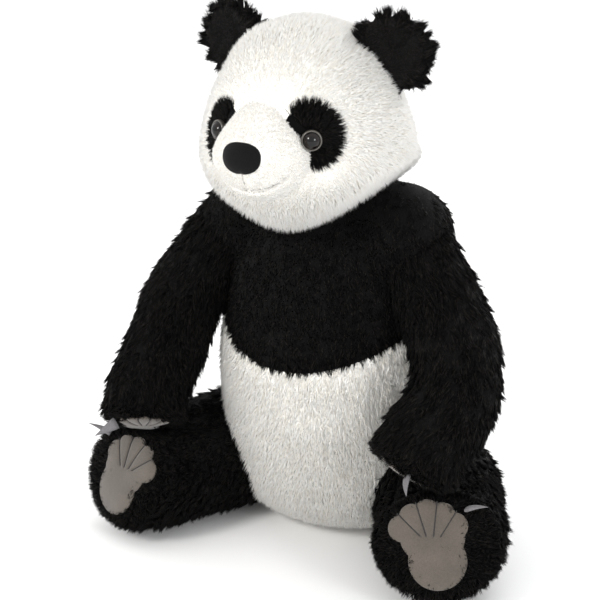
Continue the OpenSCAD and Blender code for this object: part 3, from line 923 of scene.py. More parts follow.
def torso_form(name, materials):
    """The whole body as one closed skin: seat to neck, with the shoulders' rounds."""
    rings = []
    for height, y, half_w, half_d, tilt in TORSO_RINGS:
        lean = math.radians(tilt)
        rings.append((np.array([0, y, height]) * MM, np.array([1.0, 0, 0]),
                      np.array([0, math.cos(lean), math.sin(lean)]), half_w * MM, half_d * MM))
    bm = bmesh.new()
    loft(bm, rings, 32)
    for place, half, turn in SHOULDERS:
        for side in SIDES.values():
            spot = Matrix.Translation(Vector((place[0] * side, place[1], place[2])) * MM)
            lean = Matrix.Rotation(math.radians(turn * side), 4, "Y")
            stretch = Matrix.Diagonal((half[0] * MM, half[1] * MM, half[2] * MM, 1))
            bmesh.ops.create_icosphere(bm, subdivisions=4, radius=1.0, matrix=spot @ lean @ stretch)
    obj = blended(link_mesh(name, bm, materials), 5.0, 8)
    points = points_of(obj.data)
    points[:, 2] = np.maximum(points[:, 2], 0.5 * MM)
    put_points(obj.data, points)
    return obj


def seam_lift(points):
    """How far the band's seam lies above its plane, over each point."""
    return BAND_RISE * points[:, 0] ** 2 / MM + BAND_SLOPE * points[:, 0]


def band_plane():
    """A point on the seam between black and white and the seam's normal."""
    height, y, _, _, tilt = TORSO_RINGS[BAND_RING]
    lean = math.radians(tilt)
    return Vector((0, y * MM, height * MM)), Vector((0, -math.sin(lean), math.cos(lean)))


def torso_part(name, keep_upper, materials):
    """The body's skin on one side of the band's seam, closed at the seam."""
    obj = torso_form(name, materials)
    points = points_of(obj.data)
    points[:, 2] -= seam_lift(points)
    put_points(obj.data, points)
    bm = bmesh.new()
    bm.from_mesh(obj.data)
    point, normal = band_plane()
    cut = bmesh.ops.bisect_plane(bm, geom=bm.verts[:] + bm.edges[:] + bm.faces[:], plane_co=point, plane_no=normal,
                                 clear_inner=keep_upper, clear_outer=not keep_upper, dist=1e-6)
    rim = [g for g in cut["geom_cut"] if isinstance(g, bmesh.types.BMEdge)]
    bmesh.ops.holes_fill(bm, edges=rim, sides=0)
    bmesh.ops.triangulate(bm, faces=[f for f in bm.faces if len(f.verts) > 4])
    bmesh.ops.recalc_face_normals(bm, faces=bm.faces)
    bm.to_mesh(obj.data)
    bm.free()
    mesh = obj.data
    points = points_of(mesh)
    points[:, 2] += seam_lift(points)
    outward = unit_rows(points - np.array([0, -0.02, 0.15]))
    pinch = 3.0 * np.exp(-(band_gap(points) / (9 * MM)) ** 2)
    free = soft_step(points[:, 2], 4 * MM, 30 * MM)
    points += outward * ((lumps(points, 90, 3) * 2.4 + lumps(points, 34, 4) * 0.9) * free - pinch)[:, None] * MM
    put_points(mesh, points)
    mesh.shade_smooth()
    return obj


def body_comb(points):
    """Pile on the body lies downwards and a little outwards."""
    comb = np.zeros_like(points)
    comb[:, 2] = -1.0
    comb[:, 0] = points[:, 0] * 1.6
    comb[:, 1] = -0.12
    return comb


def band_gap(points):
    """Signed distance of points above the band's seam, in metres."""
    point, normal = band_plane()
    level = points - np.outer(seam_lift(points), [0, 0, 1])
    return (level - np.array(point)) @ np.array(normal)


def on_seam_face(points):
    """Which points lie on the flat face that closes a half of the body at the seam, where no pile grows."""
    at_seam = np.abs(band_gap(points)) < 0.8 * MM
    return at_seam & (np.hypot(points[:, 0], points[:, 1] - SEAM_Y) < SEAM_REACH)


class PANDA_OT_body(bpy.types.Operator):
    """Sews the white belly and seat and the black yoke, with their pile"""
    bl_idname = "panda.body"
    bl_label = "Body"

    def execute(self, context):
        pile = settings().pile
        belly = torso_part("belly", False, ["white_backing"])
        points = points_of(belly.data)
        under = soft_step(points[:, 2], 6 * MM, 34 * MM)
        grow = np.where(on_seam_face(points), 0.0, 0.12 + 0.88 * under)
        comb_skin(belly, body_comb(points), 0.35 + 0.65 * under, grow)
        dress(belly, "root", ["belly_skin", "torso_stuffing"])
        for i in range(2):
            locks = grow_pile(belly, f"belly_pile_{'ab'[i]}", "white", 41000, pile.body, pile.width,
                              rise=0.42, shag=0.1, clump_mm=4.0, seed=100 + 10 * i)
            dress(locks, "root")

        yoke = torso_part("yoke", True, ["black_backing"])
        points = points_of(yoke.data)
        edge = 1 - soft_step(band_gap(points), 2 * MM, 20 * MM)
        grow = np.where(on_seam_face(points), 0.0, 1.0 + 0.9 * edge)
        comb_skin(yoke, body_comb(points), 0.85 + 0.35 * edge, grow)
        dress(yoke, "root", ["yoke_skin"])
        locks = grow_pile(yoke, "yoke_pile", "black", 43000, pile.body * 0.8, pile.width,
                          rise=0.42, shag=0.32, clump_mm=7.5, seed=130)
        dress(locks, "root")
        return {"FINISHED"}


class PANDA_OT_tail(bpy.types.Operator):
    """Sews the short round tail and the closing seam of the back"""
    bl_idname = "panda.tail"
    bl_label = "Tail"

    def execute(self, context):
        pile = settings().pile
        low, high = node_box("tail")
        centre = (low + high) / 2
        half = (high - low) / 2
        bm = bmesh.new()
        bmesh.ops.create_icosphere(bm, subdivisions=4, radius=1.0)
        stretch = Matrix.Diagonal((half[0] * 0.92, half[1] * 1.25, half[2] * 0.92, 1))
        place = Matrix.Translation(Vector(centre + [0, -6 * MM, 0])) @ stretch
        bmesh.ops.transform(bm, matrix=place, verts=bm.verts)
        tail = link_mesh("tail_skin", bm, ["black_backing"])
        points = points_of(tail.data)
        comb_skin(tail, np.tile([0.0, 0.5, -0.8], (len(points), 1)))
        dress(tail, "root", ["tail"])
        locks = grow_pile(tail, "tail_pile", "black", 6000, pile.ears, pile.width,
                          rise=0.8, shag=0.5, clump_mm=8.0, seed=150)
        dress(locks, "root")
        seam = frame["nodes"]["closing_seam"]
        seam.data.materials.clear()
        seam.data.materials.append(material("black_thread"))
        return {"FINISHED"}


# ---------------------------------------------------------------- head

# Head's pattern: height from its centre, and how full it is across and behind there, as a share of a plain ball
HEAD_HEIGHTS = (-102, -80, -62, -45, -20, 4, 30, 58, 86, 102)
HEAD_ACROSS = (1.10, 1.11, 1.09, 1.06, 1.01, 0.97, 0.92, 0.90, 0.95, 1.0)
HEAD_BEHIND = (1.3, 1.5, 1.8, 1.6, 1.0, 0.8, 0.68, 0.7, 0.85, 1.0)


def head_shape(points):
    """Turns the plain ball of a head into the panda's: narrow crown, full jowls, hollows at the eyes."""
    rel = (points - HEAD) / MM
    x, y, z = rel[:, 0], rel[:, 1], rel[:, 2]
    x = x * np.interp(z, HEAD_HEIGHTS, HEAD_ACROSS)
    y = np.where(y > 0, y * np.interp(z, HEAD_HEIGHTS, HEAD_BEHIND), y)
    low = 1 + 0.05 * np.clip(-y / 102, 0, 1) - 0.1 * np.clip((y + 40) / 102, 0, 1)
    z = np.where(z < 0, z * low, z)
    underside = -106 + 0.8 * np.sqrt(x ** 2 + 16 ** 2) - 0.1 * np.maximum(-y - 40, 0)
    z = underside + 9 * np.logaddexp(0, (z - underside) / 9)
    bridge = np.exp(-(x / 22) ** 2 - ((z - 30) / 24) ** 2) * (y < 0)
    y = y - 9 * bridge
    rel = np.stack([x, y, z], 1)
    out = unit_rows(rel)
    for side in SIDES:
        eye = mirrored((EYE_CENTRE - HEAD) / MM, side)
        gap = np.linalg.norm(rel - eye * 0.97, axis=1)
        rel -= out * (4.5 * np.exp(-(gap / 20) ** 2))[:, None]
        cheek = mirrored((72, -66, -34), side)
        gap = np.linalg.norm(rel - cheek, axis=1)
        rel += out * (4.5 * np.exp(-(gap / 32) ** 2))[:, None]
        brow = mirrored((38, -88, 34), side)
        gap = np.linalg.norm(rel - brow, axis=1)
        rel += out * (2.5 * np.exp(-(gap / 20) ** 2))[:, None]
    rel += out * (lumps(points, 80, 11) * 1.5 + lumps(points, 30, 12) * 0.6)[:, None]
    return HEAD + rel * MM


EYE_CENTRE = (EYE_LOW + EYE_HIGH) / 2
EYE_DIR = unit(EYE_CENTRE - HEAD)
PATCH_DIRS = {"left": unit((0.47, -0.88, 0.115)), "right": unit((0.43, -0.9, 0.05))}
# How far a patch's long way leans outwards towards its foot, and half its length and width
PATCH_TURN, PATCH_LONG, PATCH_WIDE = math.radians(20), 28.5, 25.5


def patch_frame(side):
    """The eye patch's place: its direction from the head's centre, and the directions across and up it."""
    out = mirrored(PATCH_DIRS[side], side)
    right = unit(np.cross((0, 0, 1), out))
    up = np.cross(out, right)
    return out, right, up


def patch_outline(side):
    """The eye patch's edge, in mm around its centre."""
    turn = math.pi / 2 + PATCH_TURN if side == "left" else math.pi / 2 - PATCH_TURN

    def radius(angle):
        c, s = math.cos(angle - turn), math.sin(angle - turn)
        return 1 / math.sqrt((c / PATCH_LONG) ** 2 + (s / PATCH_WIDE) ** 2)
    return radius


def in_patch(points, side, grow_mm):
    """How far inside the eye patch's outline points are, 1 well inside and 0 outside."""
    out, right, up = patch_frame(side)
    rel = (points - HEAD) / MM
    ahead = rel @ out
    x, y = rel @ right, rel @ up
    angle, reach = np.arctan2(y, x), np.hypot(x, y)
    outline = patch_outline(side)
    edge = np.array([outline(a) for a in angle])
    inside = 1 - soft_step(reach, edge + grow_mm - 1.5, edge + grow_mm + 0.5)
    return np.where(ahead > 0, inside, 0.0)


def head_comb(points):
    """Pile on the head runs back from the muzzle, and down over the jowls."""
    rel = points - MUZZLE
    away = rel / np.linalg.norm(rel, axis=1)[:, None]
    down = np.zeros_like(points)
    down[:, 2] = -1
    back = np.zeros_like(points)
    back[:, 1] = 0.5
    low = soft_step(-(points[:, 2] - HEAD[2]), -20 * MM, 50 * MM)[:, None]
    return away * (1 - 0.35 * low) + down * (0.25 + 0.75 * low) + back * (1 - low)


class PANDA_OT_head(bpy.types.Operator):
    """Sews the white head with its pile"""
    bl_idname = "panda.head"
    bl_label = "Head"

    def execute(self, context):
        pile = settings().pile
        bm = bmesh.new()
        bmesh.ops.create_icosphere(bm, subdivisions=6, radius=HEAD_R)
        bmesh.ops.translate(bm, verts=bm.verts, vec=Vector(HEAD))
        head = link_mesh("head", bm, ["white_backing"])
        put_points(head.data, head_shape(points_of(head.data)))
        points = points_of(head.data)
        near_muzzle = np.linalg.norm(points - MUZZLE, axis=1)
        grow = soft_step(near_muzzle, MUZZLE_R - 2 * MM, MUZZLE_R + 1 * MM)
        for side in SIDES:
            grow *= 1 - in_patch(points, side, 0.0)
        neck = joint_point("head_nod")
        grow *= soft_step(np.linalg.norm(points - neck, axis=1), 34 * MM, 44 * MM) * 0.999 + 0.001
        rel = (points - HEAD) / MM
        jowl = soft_step(-rel[:, 2], 20, 70)
        face = soft_step(-rel[:, 1], 40, 85) * (1 - jowl)
        near = 0.3 + 0.7 * soft_step(near_muzzle, MUZZLE_R, MUZZLE_R + 48 * MM)
        comb_skin(head, head_comb(points), (1.0 + 0.5 * jowl - 0.2 * face) * near, grow)
        dress(head, "head", ["head_skin", "head_stuffing", "neck_stuffing"])
        for i in range(2):
            locks = grow_pile(head, f"head_pile_{'ab'[i]}", "white", 42000, pile.head, pile.width * 0.95,
                              rise=0.42, shag=0.09, clump_mm=4.0, seed=200 + 10 * i)
            dress(locks, "head")
        return {"FINISHED"}


class PANDA_OT_patches(bpy.types.Operator):
    """Sews the black eye patches"""
    bl_idname = "panda.patches"
    bl_label = "Eye patches"

    def execute(self, context):
        pile = settings().pile
        surface = surface_of(bpy.data.objects["head"])
        for side in SIDES:
            out, right, up = patch_frame(side)
            patch = sewn_pad(f"eye_patch_skin_{side}", HEAD + out * HEAD_R * 0.98, right, up, patch_outline(side),
                             np.array([0.0, 0.0]), surface, thick_mm=0.4, crown_mm=0.8,
                             material_names=["black_backing"])
            points = points_of(patch.data)
            off_muzzle = np.linalg.norm(points - MUZZLE, axis=1)
            off_eye = np.linalg.norm(points - mirrored(EYE_CENTRE, side), axis=1)
            grow = soft_step(off_muzzle, MUZZLE_R + 0.5 * MM, MUZZLE_R + 3 * MM)
            grow *= soft_step(off_eye, 11.5 * MM, 13 * MM)
            height = (points - HEAD) @ out / MM
            grow *= soft_step(height, HEAD_R / MM * 0.72, HEAD_R / MM * 0.74)
            middle = HEAD + out * HEAD_R
            comb = unit_rows(points - middle - out * ((points - middle) @ out)[:, None])
            comb = comb * 0.9 + unit_rows(points - MUZZLE) * 0.5
            length = 0.5 + 0.5 * soft_step(off_eye, 14 * MM, 30 * MM)
            comb_skin(patch, comb, length, grow)
            dress(patch, "head", [f"eye_patch_{side}"])
            locks = grow_pile(patch, f"eye_patch_pile_{side}", "black", 5200, pile.head * 1.05, pile.width,
                              rise=0.55, shag=0.35, clump_mm=5.0, seed=230)
            dress(locks, "head")
        return {"FINISHED"}


class PANDA_OT_eyes(bpy.types.Operator):
    """Sets the plastic eyes with their rings, and finishes the washers behind them"""
    bl_idname = "panda.eyes"
    bl_label = "Eyes"

    def execute(self, context):
        eyes = settings().eyes
        radius = np.linalg.norm((EYE_HIGH - EYE_LOW)[[0, 1]]) / 2 * 0.93
        for side in SIDES:
            out = mirrored(EYE_DIR, side)
            right = unit(np.cross((0, 0, 1), out))
            up = np.cross(out, right)
            base = mirrored(EYE_CENTRE, side) - out * 4.2 * MM
            place = Matrix([[right[i], up[i], out[i], base[i]] for i in range(3)] + [[0, 0, 0, 1]])
            inner = radius - eyes.ring * MM

            bm = bmesh.new()
            profile = [(inner - 0.4 * MM, -2 * MM), (inner - 0.4 * MM, 1.6 * MM), (inner, 2.2 * MM),
                       (inner + 0.55 * eyes.ring * MM, 2.4 * MM), (radius - 0.2 * MM, 1.8 * MM), (radius, 0.9 * MM),
                       (radius, -2 * MM)]
            verts = [bm.verts.new((x, 0, z)) for x, z in profile]
            edges = [bm.edges.new(pair) for pair in zip(verts, verts[1:] + verts[:1])]
            bmesh.ops.spin(bm, geom=verts + edges, cent=(0, 0, 0), axis=(0, 0, 1), angle=math.tau, steps=64,
                           use_merge=True, use_duplicate=False)
            bmesh.ops.remove_doubles(bm, verts=bm.verts, dist=1e-6)
            bmesh.ops.recalc_face_normals(bm, faces=bm.faces)
            bmesh.ops.transform(bm, matrix=place, verts=bm.verts)
            ring = link_mesh(f"eye_ring_{side}", bm, ["grey_eye_ring"])
            dress(ring, "head", [f"eye_back_{side}"])

            bm = bmesh.new()
            dome_r = (inner ** 2 + (eyes.dome * MM) ** 2) / (2 * eyes.dome * MM)
            reach = math.asin(min(1.0, inner / dome_r))
            arc = [(dome_r * math.sin(reach * t / 14),
                    dome_r * math.cos(reach * t / 14) - dome_r + eyes.dome * MM + 1.2 * MM) for t in range(15)]
            arc.append((inner, -2 * MM))
            arc.append((0.0, -2 * MM))
            verts = [bm.verts.new((x, 0, z)) for x, z in arc]
            edges = [bm.edges.new(pair) for pair in zip(verts, verts[1:])]
            bmesh.ops.spin(bm, geom=verts + edges, cent=(0, 0, 0), axis=(0, 0, 1), angle=math.tau, steps=64,
                           use_merge=True, use_duplicate=False)
            bmesh.ops.remove_doubles(bm, verts=bm.verts, dist=1e-6)
            bmesh.ops.recalc_face_normals(bm, faces=bm.faces)
            layer = bm.loops.layers.uv.new("eye")
            for face in bm.faces:
                for loop in face.loops:
                    loop[layer].uv = (loop.vert.co.x / inner, loop.vert.co.y / inner)
            bmesh.ops.transform(bm, matrix=place, verts=bm.verts)
            dome = link_mesh(f"eye_dome_{side}", bm, ["brown_acrylic"])
            dress(dome, "head", [f"eye_lens_{side}"])

            washer = frame["nodes"][f"eye_washer_{side}"]
            washer.data.materials.clear()
            washer.data.materials.append(material("natural_washer_plastic"))
        return {"FINISHED"}


# Mouth line on the muzzle: angle across and height, from the middle outwards, in degrees and mm
MOUTH = ((0, -33), (14, -32.5), (28, -31), (42, -27), (56, -20))


def on_muzzle(angle, height, lift=0.0):
    """A point on the muzzle ball at a turn from straight ahead and a height above its centre, in mm."""
    r = MUZZLE_R / MM + lift
    flat = math.sqrt(max(r * r - height * height, 0))
    turn = math.radians(angle)
    return MUZZLE + np.array([flat * math.sin(turn), -flat * math.cos(turn), height]) * MM


def mouth_lines():
    """The mouth's curve from corner to corner and the line from the nose down to it."""
    half = [on_muzzle(a, h, 1.0) for a, h in MOUTH]
    other = [on_muzzle(-a, h, 1.0) for a, h in MOUTH[:0:-1]]
    smile = smooth_line(other + half, 60)
    drop = smooth_line([on_muzzle(0, h, 1.0) for h in (-14, -20, -27, -33)], 20)
    return smile, drop


class PANDA_OT_muzzle(bpy.types.Operator):
    """Sews the muzzle, its mouth and the felt nose"""
    bl_idname = "panda.muzzle"
    bl_label = "Muzzle"

    def execute(self, context):
        bm = bmesh.new()
        bmesh.ops.create_icosphere(bm, subdivisions=6, radius=MUZZLE_R + 0.8 * MM)
        bmesh.ops.translate(bm, verts=bm.verts, vec=Vector(MUZZLE))
        muzzle = link_mesh("muzzle", bm, ["clipped_white_nap"])
        points = points_of(muzzle.data)
        smile, drop = mouth_lines()
        high = soft_step(points[:, 2] - MUZZLE[2], -12 * MM, 34 * MM)
        points[:, 0] *= 1 - 0.26 * high
        out = unit_rows(points - MUZZLE)
        points += out * (lumps(points, 60, 21) * 0.8)[:, None] * MM
        for line, depth, width in ((smile, 5.2, 2.6), (drop, 2.2, 1.8)):
            gap = np.min([np.linalg.norm(points - p, axis=1) for p in line], axis=0) / MM
            points -= out * (depth * np.exp(-(gap / width) ** 2))[:, None] * MM
        lip = [p + np.array([0, 0, -6.5 * MM]) for p in smile[12:-12]]
        gap = np.min([np.linalg.norm(points - p, axis=1) for p in lip], axis=0) / MM
        points += out * (2.6 * np.exp(-(gap / 4.5) ** 2))[:, None] * MM
        put_points(muzzle.data, points)
        dress(muzzle, "head", ["muzzle_skin", "muzzle_stuffing"])

        grow = np.ones(len(points))
        for line, width in ((smile, 1.6), (drop, 1.2)):
            gap = np.min([np.linalg.norm(points - p, axis=1) for p in line], axis=0) / MM
            grow *= soft_step(gap, width, width + 1.5)
        nose_gap = points - (MUZZLE + np.array([0, -MUZZLE_R, 1 * MM]))
        grow *= soft_step(np.hypot(nose_gap[:, 0] / 22, nose_gap[:, 2] / 16) / MM, 0.9, 1.0)
        inside_head = np.linalg.norm(points - HEAD, axis=1)
        grow *= soft_step(inside_head, HEAD_R - 8 * MM, HEAD_R - 4 * MM)
        away = unit_rows(points - (MUZZLE + np.array([0, -MUZZLE_R, 0])))
        comb_skin(muzzle, away * 0.9, np.ones(len(points)), grow)
        locks = grow_pile(muzzle, "muzzle_pile", "white", 18000, length_mm=2.6, width_mm=0.7,
                          rise=0.5, shag=0.2, clump_mm=3.0, seed=260)
        dress(locks, "head")

        surface = surface_of(muzzle)
        stitched = laid_thread("mouth_thread", [smile[6:-6], drop], 0.5, "pale_thread", surface, lift_mm=0.2,
                               out=np.array([0, -0.94, -0.34]))
        dress(stitched, "head", ["mouth_stitching"])

        def nose_edge(angle):
            c, s = math.cos(angle), math.sin(angle)
            return 1 / (abs(c / NOSE_WIDE) ** 2.3 + abs(s / (NOSE_ABOVE if s > 0 else NOSE_BELOW)) ** 2.3) ** (1 / 2.3)

        nose = sewn_pad("nose_felt", MUZZLE + np.array([0, -MUZZLE_R, 1 * MM]), np.array([1.0, 0, 0]),
                        np.array([0, 0, 1.0]), nose_edge, np.array([0.0, 0.0]), surface,
                        thick_mm=1.6, crown_mm=2.6, material_names=["black_nose_felt"])
        dress(nose, "head", ["nose"])
        return {"FINISHED"}


class PANDA_OT_ears(bpy.types.Operator):
    """Sews the round ears with their long pile"""
    bl_idname = "panda.ears"
    bl_label = "Ears"

    def execute(self, context):
        pile = settings().pile
        for side in SIDES:
            centre = mirrored(HEAD + np.array(EAR_PLACE) * MM, side)
            top = unit(centre - HEAD)
            front = unit(mirrored((0.31, -0.95, 0), side))
            front = unit(front - top * (front @ top))
            across = np.cross(top, front)
            bm = bmesh.new()
            bmesh.ops.create_icosphere(bm, subdivisions=5, radius=1.0)
            for v in bm.verts:
                x, y, z = v.co
                edge = math.hypot(x, z)
                thick = EAR_THICK * (1 + 0.25 * math.exp(-((edge - 0.8) / 0.2) ** 2))
                cup = 5.0 * (1 - edge ** 2) if y > 0 else 0.0
                local = across * x * EAR_RADIUS + top * z * EAR_RADIUS + front * (y * thick - cup)
                v.co = Vector(centre + local * MM)
            bmesh.ops.recalc_face_normals(bm, faces=bm.faces)
            ear = link_mesh(f"ear_skin_{side}", bm, ["black_backing"])
            points = points_of(ear.data)
            rel = points - centre
            radial = unit_rows(rel - front * (rel @ front)[:, None])
            inside_head = np.linalg.norm(points - HEAD, axis=1)
            grow = soft_step(inside_head, HEAD_R - 6 * MM, HEAD_R)
            rim = soft_step(np.linalg.norm(rel - front * (rel @ front)[:, None], axis=1), 14 * MM, 30 * MM)
            comb_skin(ear, radial * (0.4 + 0.4 * rim)[:, None] + top * 0.15, 0.85 + 0.15 * rim, grow)
            dress(ear, "head", [f"ear_{side}"])
            locks = grow_pile(ear, f"ear_pile_{side}", "black", 17000, pile.ears, pile.width * 1.3,
                              rise=0.7, shag=0.5, clump_mm=7.0, seed=300)
            dress(locks, "head")
        return {"FINISHED"}


# ---------------------------------------------------------------- limbs

def nearest_along(points, rings, side):
    """For each point, the direction of the limb's centre line nearest to it."""
    flip = np.array([SIDES[side], 1, 1])
    centres = np.array([r[0] for r in rings], float) * flip * MM
    directions = np.array([along_rings(rings, i) for i in range(len(rings))]) * flip
    gaps = np.linalg.norm(points[:, None] - centres[None], axis=2)
    weights = np.exp(-(gaps / (30 * MM)) ** 2) + 1e-9
    mixed = weights @ directions
    return unit_rows(mixed)


def paw_frame(rings, edge, side):
    """A paw's blunt end: its centre, outer direction, upward direction and outward normal."""
    flip = np.array([SIDES[side], 1, 1])
    direction = along_rings(rings, len(rings) - 1)
    level, upward = cross_frame(direction)
    centre = (np.array(rings[-1][0], float) + direction * edge) * MM * flip
    return centre, level * flip, upward * flip, direction * flip


def toe_angle(k):
    """Direction of toe k, from -2 on the inner side to 2 on the outer side, in radians."""
    return math.radians(96 - 28 * k)


def pad_circles(size):
    """Five toes in a fan above a heel that lies to the outer side: x, y and radius in mm."""
    toes = [(32 * math.cos(toe_angle(k)), 32 * math.sin(toe_angle(k)), 13) for k in range(-2, 3)]
    rest = [(-5, 8, 24), (10, 8, 25), (9, -15, 29)]
    return [tuple(n * size for n in c) for c in toes + rest]


def toe_line(k, size):
    """A stitched line between two toes, from its outer end to its inner end."""
    a = toe_angle(k)
    tip = np.array([44 * math.cos(a), 44 * math.sin(a)])
    root = np.array([15 * math.cos(a) + 2, 9])
    return tip * size, root * size


def claw(bm, place, length_mm, width_mm):
    """One felt claw: a flattened cone, a little hooked, its root at the origin of its place."""
    before = set(bm.verts)
    bmesh.ops.create_cone(bm, cap_ends=True, segments=14, radius1=1.0, radius2=0.06, depth=1.0,
                          matrix=Matrix.Translation((0, 0, 0.5)))
    upright = [e for e in bm.edges if not before & set(e.verts) and abs(e.verts[0].co.z - e.verts[1].co.z) > 0.5]
    bmesh.ops.subdivide_edges(bm, edges=upright, cuts=4)
    for v in set(bm.verts) - before:
        x, y, z = v.co
        spread = 1 + 0.55 * z * (1 - z)
        v.co = place @ Vector((x * spread * width_mm * MM / 2, (y * spread * width_mm * 0.2 - 3.5 * z * z) * MM,
                               z * length_mm * MM))


def paw_details(side, limb, rings, edge, size, inwards, body, slots, claw_places, surface):
    """Pad, toe stitching and claws of one paw."""
    pad_node, stitch_node, claw_node = slots
    centre, right, up, out = paw_frame(rings, edge, side)
    centre = centre - right * inwards * MM
    circles = pad_circles(size)
    middle = np.array([1.0, 4.0]) * size
    grooves = [(*toe_line(k, size), 1.3, 1.3) for k in (-1.5, -0.5, 0.5, 1.5)]
    if side == "right":
        circles = [(-x, y, r) for x, y, r in circles]
        grooves = [(a * [-1, 1], b * [-1, 1], d, w) for a, b, d, w in grooves]
        middle = middle * [-1, 1]
        right = -right
    pad = sewn_pad(f"{limb}_pad_{side}", centre, right, up, star_outline(circles, middle), middle, surface,
                   thick_mm=1.6, crown_mm=1.8, material_names=["taupe_suede"], grooves=grooves)
    dress(pad, body, [pad_node])
    top = surface_of(pad)
    strokes = []
    for a, b, _, _ in grooves:
        strokes.append([centre + (p[0] * right + p[1] * up) * MM for p in smooth_line([a, (a + b) / 2, b], 16)])
    thread = laid_thread(f"{limb}_stitching_{side}", strokes, 0.55, "black_thread", top, lift_mm=0.25, out=out)
    dress(thread, body, [stitch_node])
    bm = bmesh.new()
    flip = -1 if side == "right" else 1
    for x, y, depth, lean_x, lean_y, lean_out in claw_places:
        root = centre + (x * flip * right + y * up + depth * out) * MM
        aim = unit(lean_x * flip * right + lean_y * up + lean_out * out)
        flat = unit(np.cross(aim, np.cross(out * 0.4 + up, aim)))
        wide = np.cross(flat, aim)
        place = Matrix([[wide[i], flat[i], aim[i], root[i]] for i in range(3)] + [[0, 0, 0, 1]])
        claw(bm, place, CLAW_LENGTH, CLAW_WIDTH)
    bmesh.ops.recalc_face_normals(bm, faces=bm.faces)
    claws = link_mesh(f"{limb}_claws_{side}", bm, ["grey_claw_felt"])
    dress(claws, body, [claw_node])


# Claw roots beyond the toes: across, up and outwards in mm, then the way each points
FOOT_CLAWS = (
    (-38, 36, 3, -0.9, 0.1, 0.7), (-22, 46, 3, -0.6, 0.2, 0.8), (4, 51, 3, 0.35, 0.15, 0.9),
    (22, 47, 3, 0.5, 0.3, 0.8), (36, 37, 3, 0.7, 0.3, 0.7),
)
HAND_CLAWS = (
    (-27, 22, 5, -0.7, 0.4, 0.6), (-15, 29, 5, -0.4, 0.5, 0.7), (1, 31, 5, 0.0, 0.5, 0.8),
    (16, 28, 5, 0.4, 0.5, 0.7), (27, 20, 5, 0.7, 0.4, 0.6),
)
# Most locks that one piece of a limb's pile holds
LOCKS_IN_PIECE = 50000


def limb_pile(limb, skin, side, rings, edge, size, inwards, body, length, seed, count):
    """Pile along a limb, kept off its pad and standing up round it."""
    points = points_of(skin.data)
    centre, right, up, out = paw_frame(rings, edge, side)
    rel = (points - centre + right * inwards * MM) / MM
    x, y, ahead = rel @ right, rel @ up, rel @ out
    outline = star_outline(pad_circles(size), np.array([1.0, 4.0]) * size)
    reach = np.hypot(x - size, y - 4 * size)
    pad_edge = np.array([outline(a) for a in np.arctan2(y - 4 * size, x - size)])
    on_end = soft_step(ahead, -14, -6)
    grow = 1 - (1 - soft_step(reach, pad_edge - 2.5, pad_edge - 0.5)) * on_end
    comb = nearest_along(points, rings, side)
    radial = unit_rows((x - size)[:, None] * right + (y - 4 * size)[:, None] * up)
    comb = comb * (1 - 0.75 * on_end)[:, None] + radial * (0.85 * on_end)[:, None]
    comb[:, 2] -= 0.35 * (1 - on_end)
    length_factor = 1 + 0.15 * lumps(points, 40, seed) * (1 - on_end) - 0.3 * on_end
    under = soft_step(points[:, 2], 3 * MM, 22 * MM)
    grow *= 0.15 + 0.85 * under
    comb_skin(skin, comb, length_factor * (0.5 + 0.5 * under), grow)
    parts = count // LOCKS_IN_PIECE + 1
    for part in range(parts):
        locks = grow_pile(skin, f"{limb}_pile_{side}_{part}", "black", count // parts, length, settings().pile.width,
                          rise=0.42, shag=0.34, clump_mm=8.5, seed=seed + 7 * part)
        dress(locks, body)


class PANDA_OT_arms(bpy.types.Operator):
    """Sews both arms with their paws"""
    bl_idname = "panda.arms"
    bl_label = "Arms"

    def execute(self, context):
        pile = settings().pile
        for side in SIDES:
            rings = ARM_RINGS[side]
            skin = limb_skin(f"arm_{side}", rings, PALM_EDGE, side, ["black_backing"])
            points, normals = points_of(skin.data), normals_of(skin.data)
            puff = lumps(points, 60, 31) * 1.5 + lumps(points, 26, 32) * 0.6
            put_points(skin.data, points + normals * puff[:, None] * MM)
            dress(skin, f"arm_{side}", [f"arm_skin_{side}", f"arm_stuffing_{side}"])
            paw_details(side, "palm", rings, PALM_EDGE, PALM_SIZE, PALM_INWARDS, f"arm_{side}",
                        [f"palm_pad_{side}", f"palm_stitching_{side}", f"palm_claws_{side}"], HAND_CLAWS,
                        surface_of(skin))
            limb_pile("arm", skin, side, rings, PALM_EDGE, PALM_SIZE, PALM_INWARDS, f"arm_{side}", pile.limbs,
                      400, 41000)
        return {"FINISHED"}


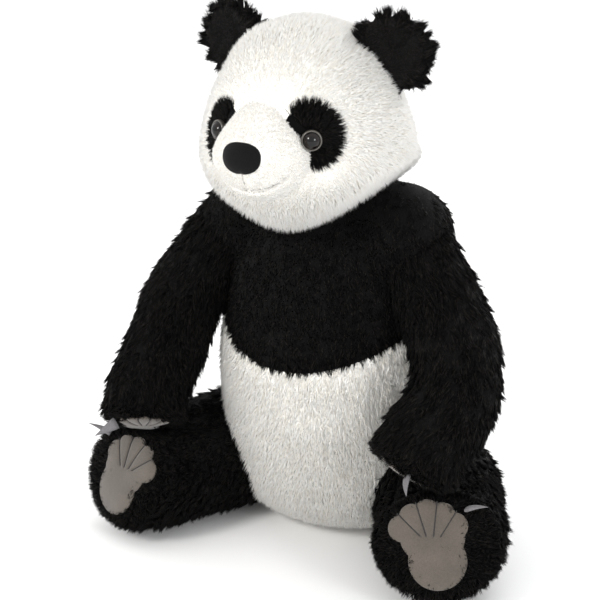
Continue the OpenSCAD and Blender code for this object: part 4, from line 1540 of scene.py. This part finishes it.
class PANDA_OT_legs(bpy.types.Operator):
    """Sews both legs with their paws"""
    bl_idname = "panda.legs"
    bl_label = "Legs"

    def execute(self, context):
        pile = settings().pile
        for side in SIDES:
            rings = leg_rings(side)
            skin = limb_skin(f"leg_{side}", rings, SOLE_EDGE, side, ["black_backing"])
            points, normals = points_of(skin.data), normals_of(skin.data)
            puff = lumps(points, 70, 41) * 1.6 + lumps(points, 30, 42) * 0.6
            points = points + normals * puff[:, None] * MM
            points[:, 2] = np.maximum(points[:, 2], 1.2 * MM)
            put_points(skin.data, points)
            dress(skin, f"leg_{side}", [f"leg_skin_{side}", f"leg_stuffing_{side}"])
            paw_details(side, "sole", rings, SOLE_EDGE, SOLE_SIZE, SOLE_INWARDS, f"leg_{side}",
                        [f"sole_pad_{side}", f"sole_stitching_{side}", f"foot_claws_{side}"], FOOT_CLAWS,
                        surface_of(skin))
            limb_pile("leg", skin, side, rings, SOLE_EDGE, SOLE_SIZE, SOLE_INWARDS, f"leg_{side}", pile.limbs,
                      500, 48000)
        return {"FINISHED"}


# ---------------------------------------------------------------- panel and run

PIECES = (PANDA_OT_stage, PANDA_OT_body, PANDA_OT_tail, PANDA_OT_head, PANDA_OT_patches, PANDA_OT_eyes,
          PANDA_OT_muzzle, PANDA_OT_ears, PANDA_OT_arms, PANDA_OT_legs)


class PANDA_PT_pieces(bpy.types.Panel):
    """Lists the toy's pieces in sewing order"""
    bl_idname = "PANDA_PT_pieces"
    bl_label = "Plush Panda"
    bl_space_type = "VIEW_3D"
    bl_region_type = "UI"
    bl_category = "Panda"

    def draw(self, context):
        for piece in PIECES:
            self.layout.operator(piece.bl_idname)


CLASSES = (PandaPile, PandaEyes, PandaColours, PandaStage, PandaSettings) + PIECES + (PANDA_PT_pieces,)


def register():
    for cls in CLASSES:
        bpy.utils.register_class(cls)
    bpy.types.Scene.plush_panda = PointerProperty(type=PandaSettings)


def unregister():
    del bpy.types.Scene.plush_panda
    for cls in reversed(CLASSES):
        bpy.utils.unregister_class(cls)


def main():
    """Sews the whole toy."""
    register()
    for piece in PIECES:
        group, name = piece.bl_idname.split(".")
        getattr(getattr(bpy.ops, group), name)()


if __name__ == "__main__":
    main()
